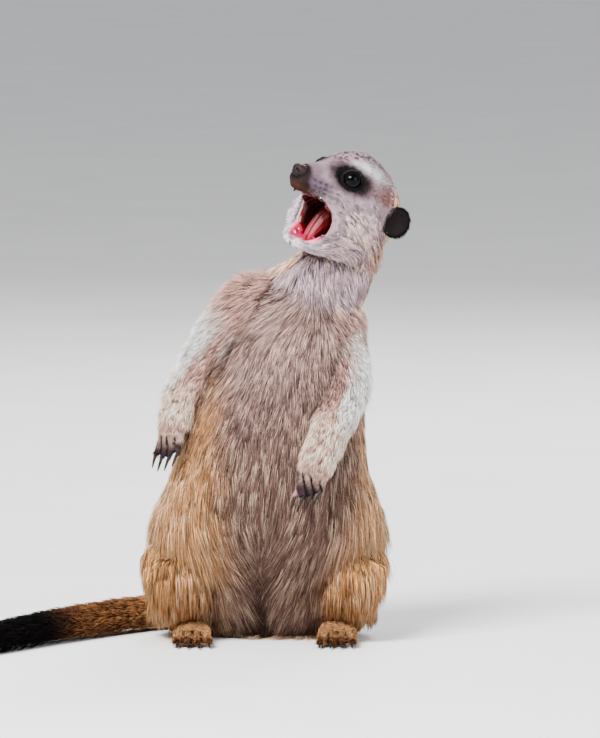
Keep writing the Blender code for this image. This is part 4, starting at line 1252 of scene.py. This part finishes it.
def make_nose(material):
    """The nose's leather with two comma-shaped nostrils and a groove down its middle."""
    local, faces = round_ball(bmesh.ops.create_icosphere, subdivisions=5)
    x, y, z = local.T
    pits = 0
    for side in SIDES.values():
        inner = bell(y, 0.40 * side, 0.17) * bell(z, 0.04, 0.17)
        outer = bell(y, 0.66 * side, 0.15) * bell(z, -0.16, 0.1)
        pits = np.maximum(pits, np.maximum(inner, 0.8 * outer) * ramp(x, 0.05, 0.45))
    size = 1 - 0.14 * bell(y, 0, 0.09) * ramp(x, 0.2, 0.6) * ramp(-z, -0.35, 0.1)
    size += 0.05 * bell(np.abs(y), 0.5, 0.2) * ramp(z, -0.1, 0.35) - 0.34 * pits
    h = NOSE_AT + local * NOSE_SIZE * size[:, None]
    colour = paint(linear((66, 48, 50)), ((38, 25, 25), ramp(-z, -0.3, 0.6)), ((8, 5, 5), np.clip(pits * 1.4, 0, 1)))
    keep(object_from("nose_leather", from_head(h), faces, colour), "nose_leather", material, "nose")


def make_tongue(material):
    """The tongue, with a groove between two long ridges."""
    obj = merged_copy(["tongue"], 0.15)
    modify(obj, "REMESH", mode="VOXEL", voxel_size=TONGUE_VOXEL * MM)
    modify(obj, "SMOOTH", factor=0.5, iterations=10)
    spots, faces = taken(evaluated(obj, "tongue_rough"))
    h = to_head(spots)
    normals = vertex_normals(spots, faces) @ HEAD_AXES.T
    top = ramp(normals[:, 0], 0.0, 0.5)
    y = h[:, 1] + 0.8 * np.sin(h[:, 2] * 0.2)
    h += normals * (top * (0.7 * bell(np.abs(y), 2.6, 1.3) - 1.1 * bell(y, 0, 0.9)))[:, None]
    h[:, 1] *= 0.82
    h[:, 0] -= 0.45 * np.clip(h[:, 0] - 4, 0, None)
    # the tongue is painted darker in its groove, at its sides and towards the throat: painted shade
    colour = paint(
        linear((166, 72, 94)),
        ((98, 24, 38), bell(y, 0, 1.0) * top),
        ((104, 26, 38), ramp(np.abs(y), 3.4, 5.6) * 0.85),
        ((92, 14, 22), ramp(behind_lips(h), 7, 16)),
    )
    keep(object_from("tongue_flesh", from_head(h), faces, colour), "mouth", material, "tongue")


def scattered(name, rows, sides, steps, bend, material):
    """Tapering cones stood on the head by Geometry Nodes. Each row gives a place, a way, and the cone's width and
    length. bend bows each one sideways by that share of its length."""
    places, ways, sizes = (np.array(column) for column in zip(*rows))
    mesh = bpy.data.meshes.new(name)
    mesh.from_pydata([tuple(p) for p in to_row(from_head(places))], [], [])
    store(mesh, "way", "FLOAT_VECTOR", "vector", unit(ways) @ HEAD_AXES)
    store(mesh, "size", "FLOAT_VECTOR", "vector", sizes[:, [0, 0, 1]] * MM)
    obj = placed(name, mesh)
    graph = Graph(bpy.data.node_groups.new(name, "GeometryNodeTree"))
    face, node = graph.tree.interface, graph.node
    face.new_socket("Geometry", in_out="INPUT", socket_type="NodeSocketGeometry")
    face.new_socket("Geometry", in_out="OUTPUT", socket_type="NodeSocketGeometry")
    inputs = {"Base Radius": 1.0, "Bend": bend, "Sides": sides, "Steps": steps}
    for label, value in inputs.items():
        kind = "NodeSocketInt" if isinstance(value, int) else "NodeSocketFloat"
        face.new_socket(label, in_out="INPUT", socket_type=kind)

    def given(label):
        return node("NodeGroupInput", out=label)

    def stored(label):
        return node("GeometryNodeInputNamedAttribute", {"Name": label}, data_type="FLOAT_VECTOR")

    shape = {"Vertices": given("Sides"), "Side Segments": given("Steps"), "Radius Bottom": given("Base Radius")}
    cone = node("GeometryNodeMeshCone", {**shape, "Radius Top": 0.06, "Depth": 1.0})
    height = node("ShaderNodeSeparateXYZ", {"Vector": node("GeometryNodeInputPosition")}, out="Z")
    bow = node("ShaderNodeCombineXYZ", {"X": height**2.0 * given("Bend")})
    shaped = node("GeometryNodeSetPosition", {"Geometry": cone, "Offset": bow})
    turn = node("FunctionNodeAlignRotationToVector", {"Vector": stored("way")}, axis="Z")
    points = node("GeometryNodeMeshToPoints", {"Mesh": given("Geometry")})
    stand = {"Points": points, "Instance": shaped, "Rotation": turn, "Scale": stored("size")}
    real = node("GeometryNodeRealizeInstances", {"Geometry": node("GeometryNodeInstanceOnPoints", stand)})
    node("NodeGroupOutput", {0: node("GeometryNodeSetMaterial", {"Geometry": real, "Material": material})})
    step = modify(obj, "NODES", node_group=graph.tree)
    for label, value in inputs.items():
        step[face.items_tree[label].identifier] = value
    made = evaluated(obj, name)
    made.data.shade_smooth()
    return made


def make_teeth(material):
    """Incisors, canines and cheek teeth of both jaws, as far as the open mouth shows them."""
    rows = [
        ((x, y * side, z), way, (radius, length))
        for teeth, way in zip((UPPER_TEETH, LOWER_TEETH), TEETH_WAYS)
        for x, y, z, radius, length in teeth
        for side in SIDES.values()
    ]
    keep(scattered("teeth", rows, 12, 4, 0.15, material), "mouth", material)


def make_whiskers(material):
    """Short fine whiskers in rows on the upper lip, and a few over the eyes."""
    roots = [(27 - 3.0 * k, 7.4 + 0.7 * k, -4.6 - 2.1 * j, 5 + 2 * k) for k in range(4) for j in range(3)]
    rows = []
    for x, y, z, length in [*roots, (12.5, 11.5, 13.2, 7), (10.5, 12.5, 14, 8)]:
        for side in SIDES.values():
            way = np.array((-0.6, 0.7 * side, 0.35 if z > 0 else -0.3)) + RNG.normal(0, 0.12, 3)
            rows.append(((x, y * side, z), way, (WHISKER_RADIUS, length * (0.8 + 0.4 * RNG.random()))))
    keep(scattered("whiskers", rows, 5, 8, 0.0, material), "coat", material)


def make_claws(material):
    """Each claw of the solids, rounded."""
    for name in sorted(n for n in NODES if n.startswith("claw")):
        obj = merged_copy([name])
        modify(obj, "SUBSURF", levels=2, render_levels=2)
        piece = evaluated(obj, name.replace("claw", "horn"))
        piece.data.shade_smooth()
        keep(piece, "claw", material, name)


# ---------------------------------------------------------------- studio
LAMPS = {  # place, size, power, colour
    "key": ((-0.9, -1.5, 1.7), 1.0, 200, (1, 0.98, 0.96)),
    "fill": ((1.5, -1.3, 0.7), 1.4, 34, (0.97, 0.98, 1)),
    "rim": ((0.5, 1.5, 1.3), 1.0, 40, (1, 1, 1)),
}
LAMPS_AIM = Vector((0.02, 0, 0.16))
SKY, SKY_STRENGTH = (0.95, 0.97, 1, 1), 0.65
FLOOR_HALF = 9
CAMERA_AIM, CAMERA_DISTANCE, CAMERA_RISE = np.array((20, 0, 146.3)), 4.5, math.radians(5)
FIELD, SENSOR = 0.3985, 36  # metres seen across the taller side at the animal, and the sensor's width


def set_studio():
    bm = bmesh.new()
    bmesh.ops.create_grid(bm, x_segments=4, y_segments=4, size=FLOOR_HALF)
    mesh = bpy.data.meshes.new("floor")
    bm.to_mesh(mesh)
    bm.free()
    mesh.materials.append(floor_material())
    placed("floor", mesh)
    for name, (place, size, power, colour) in LAMPS.items():
        lamp = bpy.data.lights.new(name, "AREA")
        lamp.size, lamp.energy, lamp.color = size, power, colour
        obj = placed(name, lamp)
        obj.location = place
        obj.rotation_euler = (LAMPS_AIM - obj.location).to_track_quat("-Z", "Y").to_euler()
    world = bpy.data.worlds.new("studio")
    world.use_nodes = True
    sky = world.node_tree.nodes["Background"].inputs
    sky["Color"].default_value, sky["Strength"].default_value = SKY, SKY_STRENGTH
    bpy.context.scene.world = world


def set_camera():
    camera = bpy.data.cameras.new("camera")
    camera.sensor_width, camera.lens = SENSOR, SENSOR * CAMERA_DISTANCE / FIELD
    obj = placed("camera", camera)
    back = Vector((0, -math.cos(CAMERA_RISE), math.sin(CAMERA_RISE)))
    obj.location = Vector(to_row(CAMERA_AIM)) + back * CAMERA_DISTANCE
    obj.rotation_euler = (math.pi / 2 - CAMERA_RISE, 0, 0)
    bpy.context.scene.camera = obj


def main():
    at, faces, web = make_skin()
    colours, wet = skin_colours(at)
    skin = object_from("skin", at.spots, faces, colours, extra={"wet": wet})
    keep(skin, "coat", skin_material(), *[n for n in FLESH if n not in ("nose", "eye_L", "eye_R")])
    fur = coat_material()
    for piece in make_coat(at, faces, web):
        keep(piece, "dark_fur" if "tail" in piece.name else "coat", fur)
    ball = eye_material()
    for mark, side in SIDES.items():
        make_eye(mark, side, ball)
    make_nose(nose_material())
    make_tongue(tongue_material())
    make_teeth(tooth_material())
    make_whiskers(whisker_material())
    make_claws(claw_material())
    set_studio()
    set_camera()


main()
